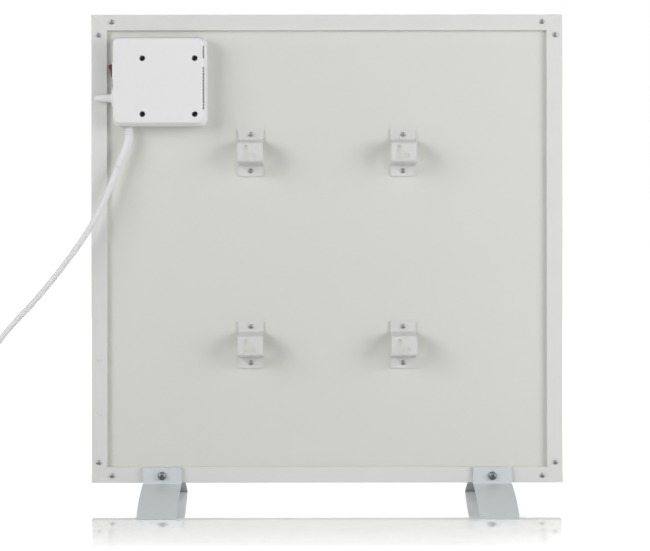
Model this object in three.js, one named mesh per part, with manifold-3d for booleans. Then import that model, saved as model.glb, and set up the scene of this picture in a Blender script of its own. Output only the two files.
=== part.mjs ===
// An infrared panel heater that stands on two arched feet and can also hang on a wall.
// Its control box, cord gland and four wall hangers are on the back, and the smooth front
// radiates the heat.
//
// Millimetres. X runs along the panel's width, Y from its back (minus) to its front (plus)
// and Z up from the floor. The origin lies on the floor under the middle of the panel.

import * as THREE from 'three';
import { mergeVertices } from 'three/addons/utils/BufferGeometryUtils.js';
import Module from 'manifold-3d';

const wasm = await Module();
wasm.setup();

// ---- Sizes ----------------------------------------------------------------------------

// Panel
const panelWidth = 600;
const panelHeight = 596;
const panelDepth = 25;
const floorClearance = 30;

// Gaps: between flat faces that rest on each other, and round what sits in a hole
const seatGap = 0.1;
const fitGap = 0.3;

// Frame rails: a C-shaped profile, mitred at the corners
const railWall = 1.6;
const flangeWidth = 20;
const lipDepth = 5;
const frontLipWidth = 7;
const railEdgeRadius = 0.9;
const mitreGap = 0.15;

// Corner keys inside the rails, with one screw in each leg
const keyLeg = 38;
const keyWidth = 13;
const keyThickness = 3;
const cornerScrewAlong = 26;
const cornerScrewIn = 9.2;
const cornerScrew = { head: 6.2, rise: 2, shank: 3.5, cross: 3.6, slot: 0.9, sunk: 1.1 };

// Plugs in two spare holes of the left rail, measured from its lower end and outer edge
const plugHeights = [88.5, 156.5];
const plugHoleIn = 10;
const railPlugHead = 5.6;
const railPlugRise = 0.7;
const railPlugStem = 3.8;
const railPlugLength = 4;

// Layers behind the frame's back flange
const sheetThickness = 0.6;
const sheetOverlap = 3.4;
const plateThickness = 1.5;
const filmThickness = 0.4;
const radiantThickness = 0.8;
const filmBorder = 30;

// Wall hangers: hat-shaped straps with an L-shaped keyhole in the raised face
const hangerColumnPitch = 194;
const hangerRowPitch = 244.6;
const hangerWidth = 32;
const hangerHeight = 60;
const hangerStandOff = 30;
const hangerThickness = 2;
const hangerFootSpan = 33;
const hangerFaceSpan = 25;
const hangerBendRadius = 3;
const hangerScrewPitch = 46.5;
const keyholeEntry = 9.5;
const keyholeSlot = 5.5;
const keyholeCornerX = -5.5;
const keyholeCornerZ = -4.6;
const keyholeArm = 11;
const hangerScrew = { head: 6, rise: 2, shank: 3.8, cross: 3.6, slot: 0.9, sunk: 1.1 };

// Plate behind the back sheet that the hangers and the control box are screwed to
const strapWidth = 34;
const strapOverhang = 6;

// Control box: base and cover, placed from the panel's left and upper edges
const boxWidth = 118.4;
const boxHeight = 112.8;
const boxFromLeft = 29.6;
const boxFromTop = 29.4;
const boxBaseDepth = 20;
const boxDepth = 28;
const boxWall = 2;
const boxCornerRadius = 8;
const coverFaceWidth = 111.9;
const coverFaceHeight = 105.2;
const coverFaceShiftX = -2.15;
const coverFaceShiftZ = 0.8;
const coverCornerRadius = 5;
const coverEdgeRadius = 0.9;
const skirtDepth = 1.6;
const wellDiameter = 7.2;
const wellWall = 1.7;
const wellFloor = 2;
const pillarHeight = 5;
const pillarDiameter = 10;
const coverScrewPitchX = 66.2;
const coverScrewPitchZ = 70.5;
const coverScrewShiftX = 11.2;
const coverScrewShiftZ = -6.4;
const coverScrew = { head: 6, rise: 2.2, shank: 3.2, cross: 3.4, slot: 0.9, sunk: 1.2 };
const wireHole = 12;

// Vent slots in the cover's right slope, measured down from the box's upper edge
const ventDepthFrom = 24.4;
const ventDepthTo = 26.6;
const longVentTop = 12;
const longVentHeight = 15.6;
const ventCount = 14;
const ventTop = 38.9;
const ventPitch = 3.9;
const ventHeight = 2.3;

// What comes out of the box's side walls lies at this depth above the back sheet
const fittingDepth = 11.5;

// Rocker switch in the box's left wall
const switchDown = 42.8;
const bezelHeight = 22.5;
const bezelWidth = 15;
const bezelThickness = 1.5;
const bezelRadius = 1.2;
const switchBodyHeight = 20;
const switchBodyWidth = 12.6;
const switchBodyDepth = 15;
const switchWall = 0.8;
const rockerReach = 8.6;
const rockerHalfThickness = 4.3;
const rockerPivotOut = 0.7;
const rockerSideGap = 0.35;
const rockerSweepGap = 0.4;
const rockerWellDepth = 6.5;
const rockerTravel = 32;
const rockerStub = 2.4;
const rockerStubOut = 0.75;

// Room sensor in its tapered sleeve on the box's left wall
const sensorDown = 77.2;
const sensorPlateHeight = 26;
const sensorPlateWidth = 16;
const sensorPlateThickness = 2.3;
const sensorPlateRadius = 7;
const sensorStem = 8;
const sensorStemLength = 6;
const sensorSpigot = 4.4;
const sensorSpigotLength = 3;
const sleeveLength = 22.6;
const sleeveRoot = 12.2;
const sleeveTip = 7.4;
const sleeveTipRadius = 2.2;

// Cord gland in the box's lower wall
const glandFromLeft = 19.4;
const glandDiameter = 10.6;
const glandGroove = 0.9;
const glandRibs = 4;
const glandStem = 8;
const glandStemLength = 4;
const bushLength = 11.4;

// Strain relief that tapers along the cord, from the middle of the gland's lower end
const reliefStart = 10.2;
const reliefEnd = 8.4;
const reliefSteps = 14;
const reliefLine = [
  [0, 0, 0.5],
  [0, 0, -1],
  [-1.2, -0.2, -8.3],
  [-3.9, -0.6, -16.4],
  [-7.7, -1.2, -25.3],
  [-11.9, -2, -34.8],
  [-14.2, -2.5, -40.3],
];

// Parts inside the box
const terminalWidth = 34;
const terminalHeight = 20;
const terminalDepth = 13;
const terminalPoles = 3;
const terminalScrewHole = 5;
const terminalHoleDepth = 6;
const terminalRight = 12;
const terminalUp = 12;
const cutoutDiameter = 16;
const cutoutDepth = 8;
const cutoutFlange = 20;
const cutoutFlangeThickness = 1;
const cutoutRight = 12;
const cutoutDown = 20;

// Feet: a rear and a front leaf of bent sheet, clamped to the lower rail by one bolt
const footPitch = 420;
const footWidth = 49;
const footSpread = 217;
const leafThickness = 2;
const leafTabHeight = 20;
const leafBendRadius = 3;
const footBoltUp = 9.3;
const footBolt = { head: 10.6, rise: 4.8, shank: 5, cross: 6.2, slot: 1.5, sunk: 2.2 };
const boltBoss = 9.5;
const boltBossLength = 6;

// Cord: its free stretch from the gland to the coil, chosen point by point
const cordDiameter = 7.4;
const cordLift = 0.2;
const coilTurnsPerLayer = 2.25;
const coilWidth = 97.4;
const coilGap = 0.7;
const coilCentreX = -488.7;
const coilCentreY = 45;
const coilRunIn = 10;
const tailLength = 58;
const cordRoute = [
  [-272.2, -23.6, 414],
  [-277.1, -25, 400.4],
  [-283, -26.5, 385.6],
  [-292.1, -28, 368.7],
  [-302.5, -30, 350.5],
  [-328.9, -38, 311.7],
  [-366, -46, 265],
  [-405, -54, 221],
  [-427, -59, 186],
  [-438, -61, 143],
  [-440, -62, 95],
  [-440, -62, 45],
  [-440, -56.6, 24],
  [-440, -42, 9.4],
];

// Mains plug on the cord's end
const plugLength = 70;
const plugDiameter = 36.8;
const plugNeck = 12.4;
const plugEntry = 10.4;
const plugNeckLength = 24;
const plugShoulder = 6;
const plugWaist = 26.5;
const plugGrip = 29.4;
const plugFlare = 8;
const plugRim = 1;
const pinDiameter = 4.8;
const pinLength = 19;
const pinPitch = 19;
const pinSunk = 8;
const pinTip = 1;

// ---- Places that follow from the sizes --------------------------------------------------

const backY = -panelDepth / 2;
const bottomZ = floorClearance;
const topZ = bottomZ + panelHeight;
const middleZ = (bottomZ + topZ) / 2;
const leftX = -panelWidth / 2;

// Depths below the frame's back face
const sheetBack = lipDepth + seatGap;
const plateBack = sheetBack + sheetThickness + seatGap;
const boardBack = plateBack + plateThickness + seatGap;
const radiantBack = panelDepth - railWall - seatGap - radiantThickness;
const filmBack = radiantBack - seatGap - filmThickness;
const boardThickness = filmBack - seatGap - boardBack;

// The face that the hangers and the box rest on, and the one that their screws end at
const restY = backY + sheetBack - seatGap;
const plateFront = backY + plateBack + plateThickness;

const hangerPlaces = [
  ['upper_left', -hangerColumnPitch / 2, middleZ + hangerRowPitch / 2],
  ['upper_right', hangerColumnPitch / 2, middleZ + hangerRowPitch / 2],
  ['lower_left', -hangerColumnPitch / 2, middleZ - hangerRowPitch / 2],
  ['lower_right', hangerColumnPitch / 2, middleZ - hangerRowPitch / 2],
];
const hangerScrewPlaces = hangerPlaces.flatMap(([name, x, z]) => [
  [`${name}_top`, x, z + hangerScrewPitch / 2],
  [`${name}_bottom`, x, z - hangerScrewPitch / 2],
]);

const boxX = leftX + boxFromLeft + boxWidth / 2;
const boxTop = topZ - boxFromTop;
const boxZ = boxTop - boxHeight / 2;
const boxLeft = boxX - boxWidth / 2;
const boxBottom = boxTop - boxHeight;
const fittingY = restY - fittingDepth;
const coverScrewPlaces = [
  ['upper_left', -1, 1],
  ['upper_right', 1, 1],
  ['lower_left', -1, -1],
  ['lower_right', 1, -1],
].map(([name, sideX, sideZ]) => [
  name,
  boxX + coverScrewShiftX + (sideX * coverScrewPitchX) / 2,
  boxZ + coverScrewShiftZ + (sideZ * coverScrewPitchZ) / 2,
]);

const cordRadius = cordDiameter / 2;
const cordZ = cordRadius + cordLift;

// ---- Shapes -----------------------------------------------------------------------------

const ROUND_SIDES = 16;
const SMALL_SIDES = 12;
const HOLE_SIDES = 8;
const ARC_STEPS = 5;

const X = new THREE.Vector3(1, 0, 0);
const Y = new THREE.Vector3(0, 1, 0);
const Z = new THREE.Vector3(0, 0, 1);

function toSolid(geometry) {
  const bare = geometry.clone();
  bare.deleteAttribute('normal');
  bare.deleteAttribute('uv');
  const merged = mergeVertices(bare, 1e-4);
  return new wasm.Manifold(new wasm.Mesh({
    numProp: 3,
    vertProperties: new Float32Array(merged.attributes.position.array),
    triVerts: new Uint32Array(merged.index.array),
  }));
}

function toGeometry(solid) {
  const mesh = solid.getMesh();
  const geometry = new THREE.BufferGeometry();
  geometry.setAttribute('position', new THREE.BufferAttribute(mesh.vertProperties, 3));
  geometry.setIndex(new THREE.BufferAttribute(mesh.triVerts, 1));
  return geometry;
}

// The first piece with others joined to it and then with cutters taken away
function shaped(first, joined, cutters) {
  let solid = toSolid(first);
  joined.forEach((piece) => {
    solid = solid.add(toSolid(piece));
  });
  cutters.forEach((cutter) => {
    solid = solid.subtract(toSolid(cutter));
  });
  return toGeometry(solid);
}

function block(x0, x1, y0, y1, z0, z1) {
  const box = new THREE.BoxGeometry(x1 - x0, y1 - y0, z1 - z0);
  return box.translate((x0 + x1) / 2, (y0 + y1) / 2, (z0 + z1) / 2);
}

// A cylinder between two points
function rod(diameter, from, to, sides = ROUND_SIDES) {
  const start = new THREE.Vector3(...from);
  const run = new THREE.Vector3(...to).sub(start);
  const cylinder = new THREE.CylinderGeometry(diameter / 2, diameter / 2, run.length(), sides);
  cylinder.translate(0, run.length() / 2, 0);
  cylinder.applyQuaternion(new THREE.Quaternion().setFromUnitVectors(Y, run.normalize()));
  return cylinder.translate(start.x, start.y, start.z);
}

// A hole along Y through the plates at the panel's back
function bore(diameter, x, z) {
  return rod(diameter, [x, backY - boxDepth, z], [x, backY + boardBack, z], HOLE_SIDES);
}

// A profile of (radius, distance) pairs turned about an axis
function turned(profile, axis, sides = ROUND_SIDES) {
  const lathe = new THREE.LatheGeometry(profile.map(([r, d]) => new THREE.Vector2(r, d)), sides);
  lathe.applyQuaternion(new THREE.Quaternion().setFromUnitVectors(Y, axis));
  return lathe;
}

function polygon(points) {
  return new THREE.Shape(points.map(([a, b]) => new THREE.Vector2(a, b)));
}

function rectangle(width, height, x = 0, z = 0) {
  return polygon([
    [x - width / 2, z - height / 2],
    [x + width / 2, z - height / 2],
    [x + width / 2, z + height / 2],
    [x - width / 2, z + height / 2],
  ]);
}

// The points of a rectangle with round corners, the same number at every size
function roundedPoints(width, height, radius) {
  const centres = [
    [width / 2 - radius, height / 2 - radius],
    [radius - width / 2, height / 2 - radius],
    [radius - width / 2, radius - height / 2],
    [width / 2 - radius, radius - height / 2],
  ];
  return centres.flatMap(([x, z], corner) =>
    Array.from({ length: ARC_STEPS + 1 }, (_, step) => {
      const angle = (corner + step / ARC_STEPS) * (Math.PI / 2);
      return [x + radius * Math.cos(angle), z + radius * Math.sin(angle)];
    }));
}

function extrude(shape, depth) {
  return new THREE.ExtrudeGeometry(shape, { depth, bevelEnabled: false, curveSegments: SMALL_SIDES / 2 });
}

// A plate drawn in X and Z, from one depth in Y towards the back
function upright(shape, frontFace, thickness) {
  return extrude(shape, thickness).rotateX(Math.PI / 2).translate(0, frontFace, 0);
}

// A profile drawn in Y and Z, run along X and centred there
function alongX(shape, length) {
  const geometry = extrude(shape, length).translate(0, 0, -length / 2);
  return geometry.applyMatrix4(new THREE.Matrix4().makeBasis(Y, Z, X));
}

// A skin over rings of points, closed at both ends
function skin(rings) {
  const count = rings[0].length;
  const faces = [];
  for (let ring = 0; ring + 1 < rings.length; ring += 1) {
    for (let i = 0; i < count; i += 1) {
      const next = (i + 1) % count;
      const low = ring * count;
      const high = low + count;
      faces.push(low + i, low + next, high + next, low + i, high + next, high + i);
    }
  }
  const last = (rings.length - 1) * count;
  for (let i = 1; i + 1 < count; i += 1) {
    faces.push(0, i + 1, i);
    faces.push(last, last + i, last + i + 1);
  }
  const geometry = new THREE.BufferGeometry();
  geometry.setAttribute('position', new THREE.Float32BufferAttribute(rings.flat(2), 3));
  geometry.setIndex(faces);
  return geometry;
}

// A stack of rings that are drawn in X and Z and stacked along -Y
function stacked(rings) {
  return skin(rings.map(({ points, depth }) => points.map(([x, z]) => [x, -depth, z])));
}

// A round bar along points that narrows evenly from its first diameter to its last
function tapered(points, first, last, steps) {
  const path = new THREE.CatmullRomCurve3(points);
  const { normals, binormals } = path.computeFrenetFrames(steps);
  return skin(Array.from({ length: steps + 1 }, (_, i) => {
    const radius = THREE.MathUtils.lerp(first, last, i / steps) / 2;
    const middle = path.getPointAt(i / steps);
    return Array.from({ length: ROUND_SIDES }, (__, side) => {
      const angle = (2 * Math.PI * side) / ROUND_SIDES;
      const across = normals[i].clone().multiplyScalar(Math.cos(angle));
      across.addScaledVector(binormals[i], Math.sin(angle));
      return middle.clone().addScaledVector(across, radius).toArray();
    });
  }));
}

// A corner line with each inner corner replaced by an arc
function filleted(corners, radius, steps = 4) {
  const line = [corners[0]];
  for (let i = 1; i + 1 < corners.length; i += 1) {
    const before = corners[i - 1].clone().sub(corners[i]).normalize();
    const after = corners[i + 1].clone().sub(corners[i]).normalize();
    const half = Math.acos(before.dot(after)) / 2;
    const centre = before.clone().add(after).normalize().multiplyScalar(radius / Math.sin(half));
    centre.add(corners[i]);
    const start = corners[i].clone().addScaledVector(before, radius / Math.tan(half)).sub(centre);
    const end = corners[i].clone().addScaledVector(after, radius / Math.tan(half)).sub(centre);
    const turn = Math.atan2(start.cross(end), start.dot(end));
    for (let step = 0; step <= steps; step += 1) {
      const spoke = start.clone().rotateAround(new THREE.Vector2(), (turn * step) / steps);
      line.push(spoke.add(centre));
    }
  }
  line.push(corners[corners.length - 1]);
  return line;
}

// The outline of a strip of sheet whose middle follows a line
function stripOutline(line, thickness) {
  const sides = line.map((point, i) => {
    const back = line[Math.max(i - 1, 0)];
    const ahead = line[Math.min(i + 1, line.length - 1)];
    const arriving = point.clone().sub(back).normalize();
    const leaving = ahead.clone().sub(point).normalize();
    const along = arriving.clone().add(leaving).normalize();
    const stretch = i === 0 || i === line.length - 1 ? 1 : along.dot(leaving);
    const across = new THREE.Vector2(-along.y, along.x).multiplyScalar(thickness / 2 / stretch);
    return [point.clone().add(across), point.clone().sub(across)];
  });
  return new THREE.Shape([...sides.map((pair) => pair[0]), ...sides.map((pair) => pair[1]).reverse()]);
}

// A screw whose head rises towards -Y from the origin and whose shank runs along +Y
function screw({ head, rise, shank, cross, slot, sunk }, length) {
  const body = turned([
    [0, -rise],
    [head * 0.3, -rise],
    [head * 0.44, -rise * 0.72],
    [head / 2, -rise * 0.25],
    [head / 2, 0],
    [shank / 2, 0],
    [shank / 2, length],
    [0, length],
  ], Y, SMALL_SIDES);
  const top = -rise - 1;
  const bars = [
    block(-cross / 2, cross / 2, top, sunk - rise, -slot / 2, slot / 2),
    block(-slot / 2, slot / 2, top, sunk - rise, -cross / 2, cross / 2),
  ];
  return shaped(body, [], bars);
}

// ---- Finishes ---------------------------------------------------------------------------

const finishes = {
  framePaint: { color: 0xf0f0ef, roughness: 0.5, metalness: 0 },
  backSheet: { color: 0xdcddd6, roughness: 0.55, metalness: 0.1 },
  radiant: { color: 0xf6f6f4, roughness: 0.6, metalness: 0 },
  zinc: { color: 0xb9c0c2, roughness: 0.4, metalness: 0.7 },
  darkSteel: { color: 0x4a4a4c, roughness: 0.35, metalness: 0.9 },
  paintedStrap: { color: 0xdfdfdd, roughness: 0.45, metalness: 0.1 },
  boxPlastic: { color: 0xeeeef1, roughness: 0.4, metalness: 0 },
  redPlastic: { color: 0x7a1418, roughness: 0.3, metalness: 0 },
  blackPlastic: { color: 0x1c1c1e, roughness: 0.4, metalness: 0 },
  whiteRubber: { color: 0xececee, roughness: 0.6, metalness: 0 },
  aluminium: { color: 0xc4c6c8, roughness: 0.4, metalness: 0.9 },
  board: { color: 0xd8c994, roughness: 0.95, metalness: 0 },
  film: { color: 0x2a2622, roughness: 0.5, metalness: 0.1 },
  brass: { color: 0xc9b26a, roughness: 0.3, metalness: 1 },
};

function piece(name, geometry, finish, place = [0, 0, 0]) {
  const mesh = new THREE.Mesh(geometry, new THREE.MeshStandardMaterial(finishes[finish]));
  mesh.name = name;
  mesh.position.set(...place);
  return mesh;
}

function groupOf(pieces) {
  const group = new THREE.Group();
  group.add(...pieces);
  return group;
}

// ---- Frame ------------------------------------------------------------------------------

// A rail's profile: distance in from the frame's outer edge, depth from its back face
function railProfile() {
  const inner = flangeWidth - railWall;
  const soft = railEdgeRadius;
  const softened = railEdgeRadius * (1 - Math.SQRT1_2);
  return polygon([
    [soft, 0],
    [flangeWidth, 0],
    [flangeWidth, lipDepth],
    [inner, lipDepth],
    [inner, railWall],
    [railWall, railWall],
    [railWall, panelDepth - railWall],
    [frontLipWidth, panelDepth - railWall],
    [frontLipWidth, panelDepth],
    [soft, panelDepth],
    [softened, panelDepth - softened],
    [0, panelDepth - soft],
    [0, soft],
    [softened, softened],
  ]);
}

// A rail with mitred ends: inward and along are the directions of its width and length
function railBar(length, inward, along, place) {
  const bar = extrude(railProfile(), length).translate(0, 0, -length / 2);
  const points = bar.attributes.position;
  for (let i = 0; i < points.count; i += 1) {
    const end = length / 2 - points.getX(i) - mitreGap;
    points.setZ(i, Math.sign(points.getZ(i)) * end);
  }
  bar.applyMatrix4(new THREE.Matrix4().makeBasis(inward, Y, along));
  return bar.translate(...place);
}

// The corners, with the directions that lead from each into the frame
const corners = [
  ['upper_left', leftX, topZ, 1, -1],
  ['upper_right', -leftX, topZ, -1, -1],
  ['lower_left', leftX, bottomZ, 1, 1],
  ['lower_right', -leftX, bottomZ, -1, 1],
];
const cornerScrewPlaces = corners.flatMap(([name, x, z, inX, inZ]) => [
  [`${name}_1`, x + inX * cornerScrewAlong, z + inZ * cornerScrewIn],
  [`${name}_2`, x + inX * cornerScrewIn, z + inZ * cornerScrewAlong],
]);
const footXs = [-footPitch / 2, footPitch / 2];
const footBoltZ = bottomZ + footBoltUp;

function flangeHole(diameter, x, z, depth = keyThickness) {
  return rod(diameter, [x, backY - 1, z], [x, backY + railWall + depth, z], HOLE_SIDES);
}

function frame() {
  const screwHoles = cornerScrewPlaces.map(([, x, z]) => flangeHole(cornerScrew.shank + 2 * fitGap, x, z));
  const plugHoles = plugHeights.map((height) =>
    flangeHole(railPlugStem + 2 * fitGap, leftX + plugHoleIn, bottomZ + height));
  const bosses = footXs.map((x) =>
    rod(boltBoss, [x, backY + railWall / 2, footBoltZ], [x, backY + boltBossLength, footBoltZ]));
  const boltHoles = footXs.map((x) => flangeHole(footBolt.shank + 2 * fitGap, x, footBoltZ, boltBossLength));
  const bars = [
    ['rail_top', panelWidth, Z.clone().negate(), X, [0, backY, topZ], [], []],
    ['rail_bottom', panelWidth, Z, X.clone().negate(), [0, backY, bottomZ], bosses, boltHoles],
    ['rail_left', panelHeight, X, Z, [leftX, backY, middleZ], [], plugHoles],
    ['rail_right', panelHeight, X.clone().negate(), Z.clone().negate(), [-leftX, backY, middleZ], [], []],
  ];
  const rails = bars.map(([name, length, inward, along, place, joined, holes]) =>
    piece(name, shaped(railBar(length, inward, along, place), joined, [...screwHoles, ...holes]), 'framePaint'));
  const shape = screw(cornerScrew, seatGap + railWall + seatGap + keyThickness);
  const screws = cornerScrewPlaces.map(([name, x, z]) =>
    piece(`corner_screw_${name}`, shape, 'zinc', [x, backY - seatGap, z]));
  return groupOf([...rails, ...corners.map(cornerKey), ...screws, ...plugHeights.map(railPlug)]);
}

// An L-shaped key behind the flange of a corner's two rails
function cornerKey([name, x, z, inX, inZ]) {
  const from = railWall + fitGap;
  const to = from + keyWidth;
  const end = from + keyLeg;
  const outline = [[from, from], [end, from], [end, to], [to, to], [to, end], [from, end]];
  const shape = polygon(outline.map(([a, b]) => [x + inX * a, z + inZ * b]));
  const front = backY + railWall + seatGap + keyThickness;
  const plate = upright(shape, front, keyThickness);
  const holes = cornerScrewPlaces.map(([, screwX, screwZ]) =>
    flangeHole(cornerScrew.shank + 2 * fitGap, screwX, screwZ, 2 * keyThickness));
  return piece(`corner_key_${name}`, shaped(plate, [], holes), 'aluminium');
}

function railPlug(height, index) {
  const geometry = turned([
    [0, -railPlugRise],
    [railPlugHead * 0.32, -railPlugRise],
    [railPlugHead / 2, -railPlugRise * 0.3],
    [railPlugHead / 2, 0],
    [railPlugStem / 2, 0],
    [railPlugStem / 2, railPlugLength],
    [0, railPlugLength],
  ], Y, SMALL_SIDES);
  const place = [leftX + plugHoleIn, backY - seatGap, bottomZ + height];
  return piece(`rail_plug_${index + 1}`, geometry, 'boxPlastic', place);
}

// ---- Layers of the panel ----------------------------------------------------------------

// A rectangle centred in the frame, as far in from its outer edge all round
function layer(inset, depthBack, thickness) {
  const shape = rectangle(panelWidth - 2 * inset, panelHeight - 2 * inset, 0, middleZ);
  return upright(shape, backY + depthBack + thickness, thickness);
}

// The plate's outline: a cross piece at the box and a strap down each column of hangers
function wallPlateOutline() {
  const left = boxLeft;
  const right = hangerColumnPitch / 2 + strapWidth / 2;
  const inner = hangerColumnPitch / 2 - strapWidth / 2;
  const low = middleZ - hangerRowPitch / 2 - hangerHeight / 2 - strapOverhang;
  return polygon([
    [left, boxTop],
    [right, boxTop],
    [right, low],
    [inner, low],
    [inner, boxBottom],
    [-inner, boxBottom],
    [-inner, low],
    [-right, low],
    [-right, boxBottom],
    [left, boxBottom],
  ]);
}

function layers() {
  const sheetInset = flangeWidth - sheetOverlap;
  const holes = [
    ...hangerScrewPlaces.map(([, x, z]) => bore(hangerScrew.shank + 2 * fitGap, x, z)),
    ...coverScrewPlaces.map(([, x, z]) => bore(coverScrew.shank + 2 * fitGap, x, z)),
    bore(wireHole, boxX, boxZ),
  ];
  const plate = upright(wallPlateOutline(), backY + plateBack + plateThickness, plateThickness);
  return groupOf([
    piece('back_sheet', shaped(layer(sheetInset, sheetBack, sheetThickness), [], holes), 'backSheet'),
    piece('mounting_plate', shaped(plate, [], holes), 'aluminium'),
    piece('insulation_board', layer(sheetInset, boardBack, boardThickness), 'board'),
    piece('heating_film', layer(filmBorder, filmBack, filmThickness), 'film'),
    piece('radiant_panel', layer(railWall + fitGap, radiantBack, radiantThickness), 'radiant'),
  ]);
}

// ---- Wall hangers -----------------------------------------------------------------------

function hangerShape() {
  const low = -hangerThickness / 2;
  const high = hangerThickness / 2 - hangerStandOff;
  const foot = (hangerFootSpan - hangerThickness) / 2;
  const face = (hangerFaceSpan - hangerThickness) / 2;
  const line = [
    [low, hangerHeight / 2],
    [low, foot],
    [high, face],
    [high, -face],
    [low, -foot],
    [low, -hangerHeight / 2],
  ].map(([y, z]) => new THREE.Vector2(y, z));
  const strap = alongX(stripOutline(filleted(line, hangerBendRadius), hangerThickness), hangerWidth);
  const outside = -hangerStandOff - 1;
  const inside = -hangerStandOff / 2;
  const hole = (x, z) => rod(keyholeSlot, [x, outside, z], [x, inside, z]);
  const entry = [keyholeCornerX, keyholeCornerZ];
  const armX = keyholeCornerX + keyholeArm;
  const armZ = keyholeCornerZ + keyholeArm;
  const half = keyholeSlot / 2;
  const cutters = [
    rod(keyholeEntry, [entry[0], outside, entry[1]], [entry[0], inside, entry[1]]),
    block(keyholeCornerX, armX, outside, inside, keyholeCornerZ - half, keyholeCornerZ + half),
    hole(armX, keyholeCornerZ),
    block(keyholeCornerX - half, keyholeCornerX + half, outside, inside, keyholeCornerZ, armZ),
    hole(keyholeCornerX, armZ),
    ...[1, -1].map((side) => {
      const z = (side * hangerScrewPitch) / 2;
      return rod(hangerScrew.shank + 2 * fitGap, [0, -hangerThickness - 1, z], [0, 1, z], SMALL_SIDES);
    }),
  ];
  return shaped(strap, [], cutters);
}

function hangers() {
  const strap = hangerShape();
  const straps = hangerPlaces.map(([name, x, z]) => piece(`hanger_${name}`, strap, 'paintedStrap', [x, restY, z]));
  const screwY = restY - hangerThickness - seatGap;
  const shape = screw(hangerScrew, plateFront - screwY);
  const screws = hangerScrewPlaces.map(([name, x, z]) =>
    piece(`hanger_screw_${name}`, shape, 'zinc', [x, screwY, z]));
  return groupOf([...straps, ...screws]);
}

// ---- Control box ------------------------------------------------------------------------

// A ring of the box's outline, drawn in the panel's X and Z, some depth above the back sheet
function boxRing(width, height, radius, depth, shiftX = 0, shiftZ = 0) {
  const points = roundedPoints(width, height, radius).map(([x, z]) => [x + boxX + shiftX, z + boxZ + shiftZ]);
  return { points, depth: depth - restY };
}

function boxBase() {
  const outer = stacked([
    boxRing(boxWidth, boxHeight, boxCornerRadius, 0),
    boxRing(boxWidth, boxHeight, boxCornerRadius, boxBaseDepth),
  ]);
  const hollowWidth = boxWidth - 2 * boxWall;
  const hollowHeight = boxHeight - 2 * boxWall;
  const hollow = stacked([
    boxRing(hollowWidth, hollowHeight, boxCornerRadius - boxWall, boxWall),
    boxRing(hollowWidth, hollowHeight, boxCornerRadius - boxWall, boxBaseDepth + 1),
  ]);
  const pillars = coverScrewPlaces.map(([, x, z]) =>
    rod(pillarDiameter, [x, restY - boxWall / 2, z], [x, restY - boxWall - pillarHeight, z]));
  const wallIn = boxLeft + 2 * boxWall;
  const wallOut = boxLeft - 1;
  const switchZ = boxTop - switchDown;
  const sensorZ = boxTop - sensorDown;
  const glandX = boxLeft + glandFromLeft;
  const holes = [
    ...coverScrewPlaces.map(([, x, z]) => bore(coverScrew.shank + 2 * fitGap, x, z)),
    bore(wireHole, boxX, boxZ),
    block(
      wallOut, wallIn,
      fittingY - switchBodyWidth / 2 - fitGap, fittingY + switchBodyWidth / 2 + fitGap,
      switchZ - switchBodyHeight / 2 - fitGap, switchZ + switchBodyHeight / 2 + fitGap,
    ),
    rod(sensorStem + 2 * fitGap, [wallOut, fittingY, sensorZ], [wallIn, fittingY, sensorZ]),
    rod(glandStem + 2 * fitGap, [glandX, fittingY, boxBottom - 1], [glandX, fittingY, boxBottom + 2 * boxWall]),
  ];
  return shaped(shaped(outer, [], [hollow]), pillars, holes);
}

// The cover's outside or, less a wall, its inside: upright at the rim, sloped to the face
function coverRings(wall) {
  const rim = boxBaseDepth + seatGap;
  const face = boxDepth - wall;
  const faceWidth = coverFaceWidth - 2 * wall;
  const faceHeight = coverFaceHeight - 2 * wall;
  const soft = coverEdgeRadius * (1 - Math.SQRT1_2);
  const low = wall === 0 ? rim : rim - 1;
  const width = boxWidth - 2 * wall;
  const height = boxHeight - 2 * wall;
  const faceRing = (growth, radius, depth) =>
    boxRing(faceWidth + growth, faceHeight + growth, radius, depth, coverFaceShiftX, coverFaceShiftZ);
  return stacked([
    boxRing(width, height, boxCornerRadius - wall, low),
    boxRing(width, height, boxCornerRadius - wall, rim + 1),
    faceRing(2 * coverEdgeRadius, coverCornerRadius, face - coverEdgeRadius),
    faceRing(2 * soft, coverCornerRadius, face - soft),
    faceRing(-coverEdgeRadius, coverCornerRadius - soft, face),
  ]);
}

function boxCover() {
  const rim = boxBaseDepth + seatGap;
  const skirtOuter = [boxWidth - 2 * (boxWall + fitGap), boxHeight - 2 * (boxWall + fitGap)];
  const skirtRadius = boxCornerRadius - boxWall - fitGap;
  const skirtWall = boxWall * 0.7;
  const skirt = toSolid(stacked([
    boxRing(skirtOuter[0], skirtOuter[1], skirtRadius, rim - skirtDepth),
    boxRing(skirtOuter[0], skirtOuter[1], skirtRadius, rim + boxWall),
  ])).subtract(toSolid(stacked([
    boxRing(skirtOuter[0] - 2 * skirtWall, skirtOuter[1] - 2 * skirtWall, skirtRadius - skirtWall, rim - boxWall - 1),
    boxRing(skirtOuter[0] - 2 * skirtWall, skirtOuter[1] - 2 * skirtWall, skirtRadius - skirtWall, boxDepth),
  ])));
  let solid = toSolid(coverRings(0)).subtract(toSolid(coverRings(boxWall))).add(skirt);
  const seat = boxWall + pillarHeight + seatGap;
  coverScrewPlaces.forEach(([, x, z]) => {
    const tube = rod(
      wellDiameter + 2 * wellWall, [x, restY - seat, z], [x, restY - boxDepth + boxWall / 2, z], SMALL_SIDES);
    const well = rod(wellDiameter, [x, restY - seat - wellFloor, z], [x, restY - boxDepth - 1, z], SMALL_SIDES);
    const hole = rod(
      coverScrew.shank + 2 * fitGap, [x, restY - seat + 1, z], [x, restY - boxDepth, z], HOLE_SIDES);
    solid = solid.add(toSolid(tube)).subtract(toSolid(well)).subtract(toSolid(hole));
  });
  vents().forEach((vent) => {
    solid = solid.subtract(toSolid(vent));
  });
  return toGeometry(solid);
}

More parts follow.
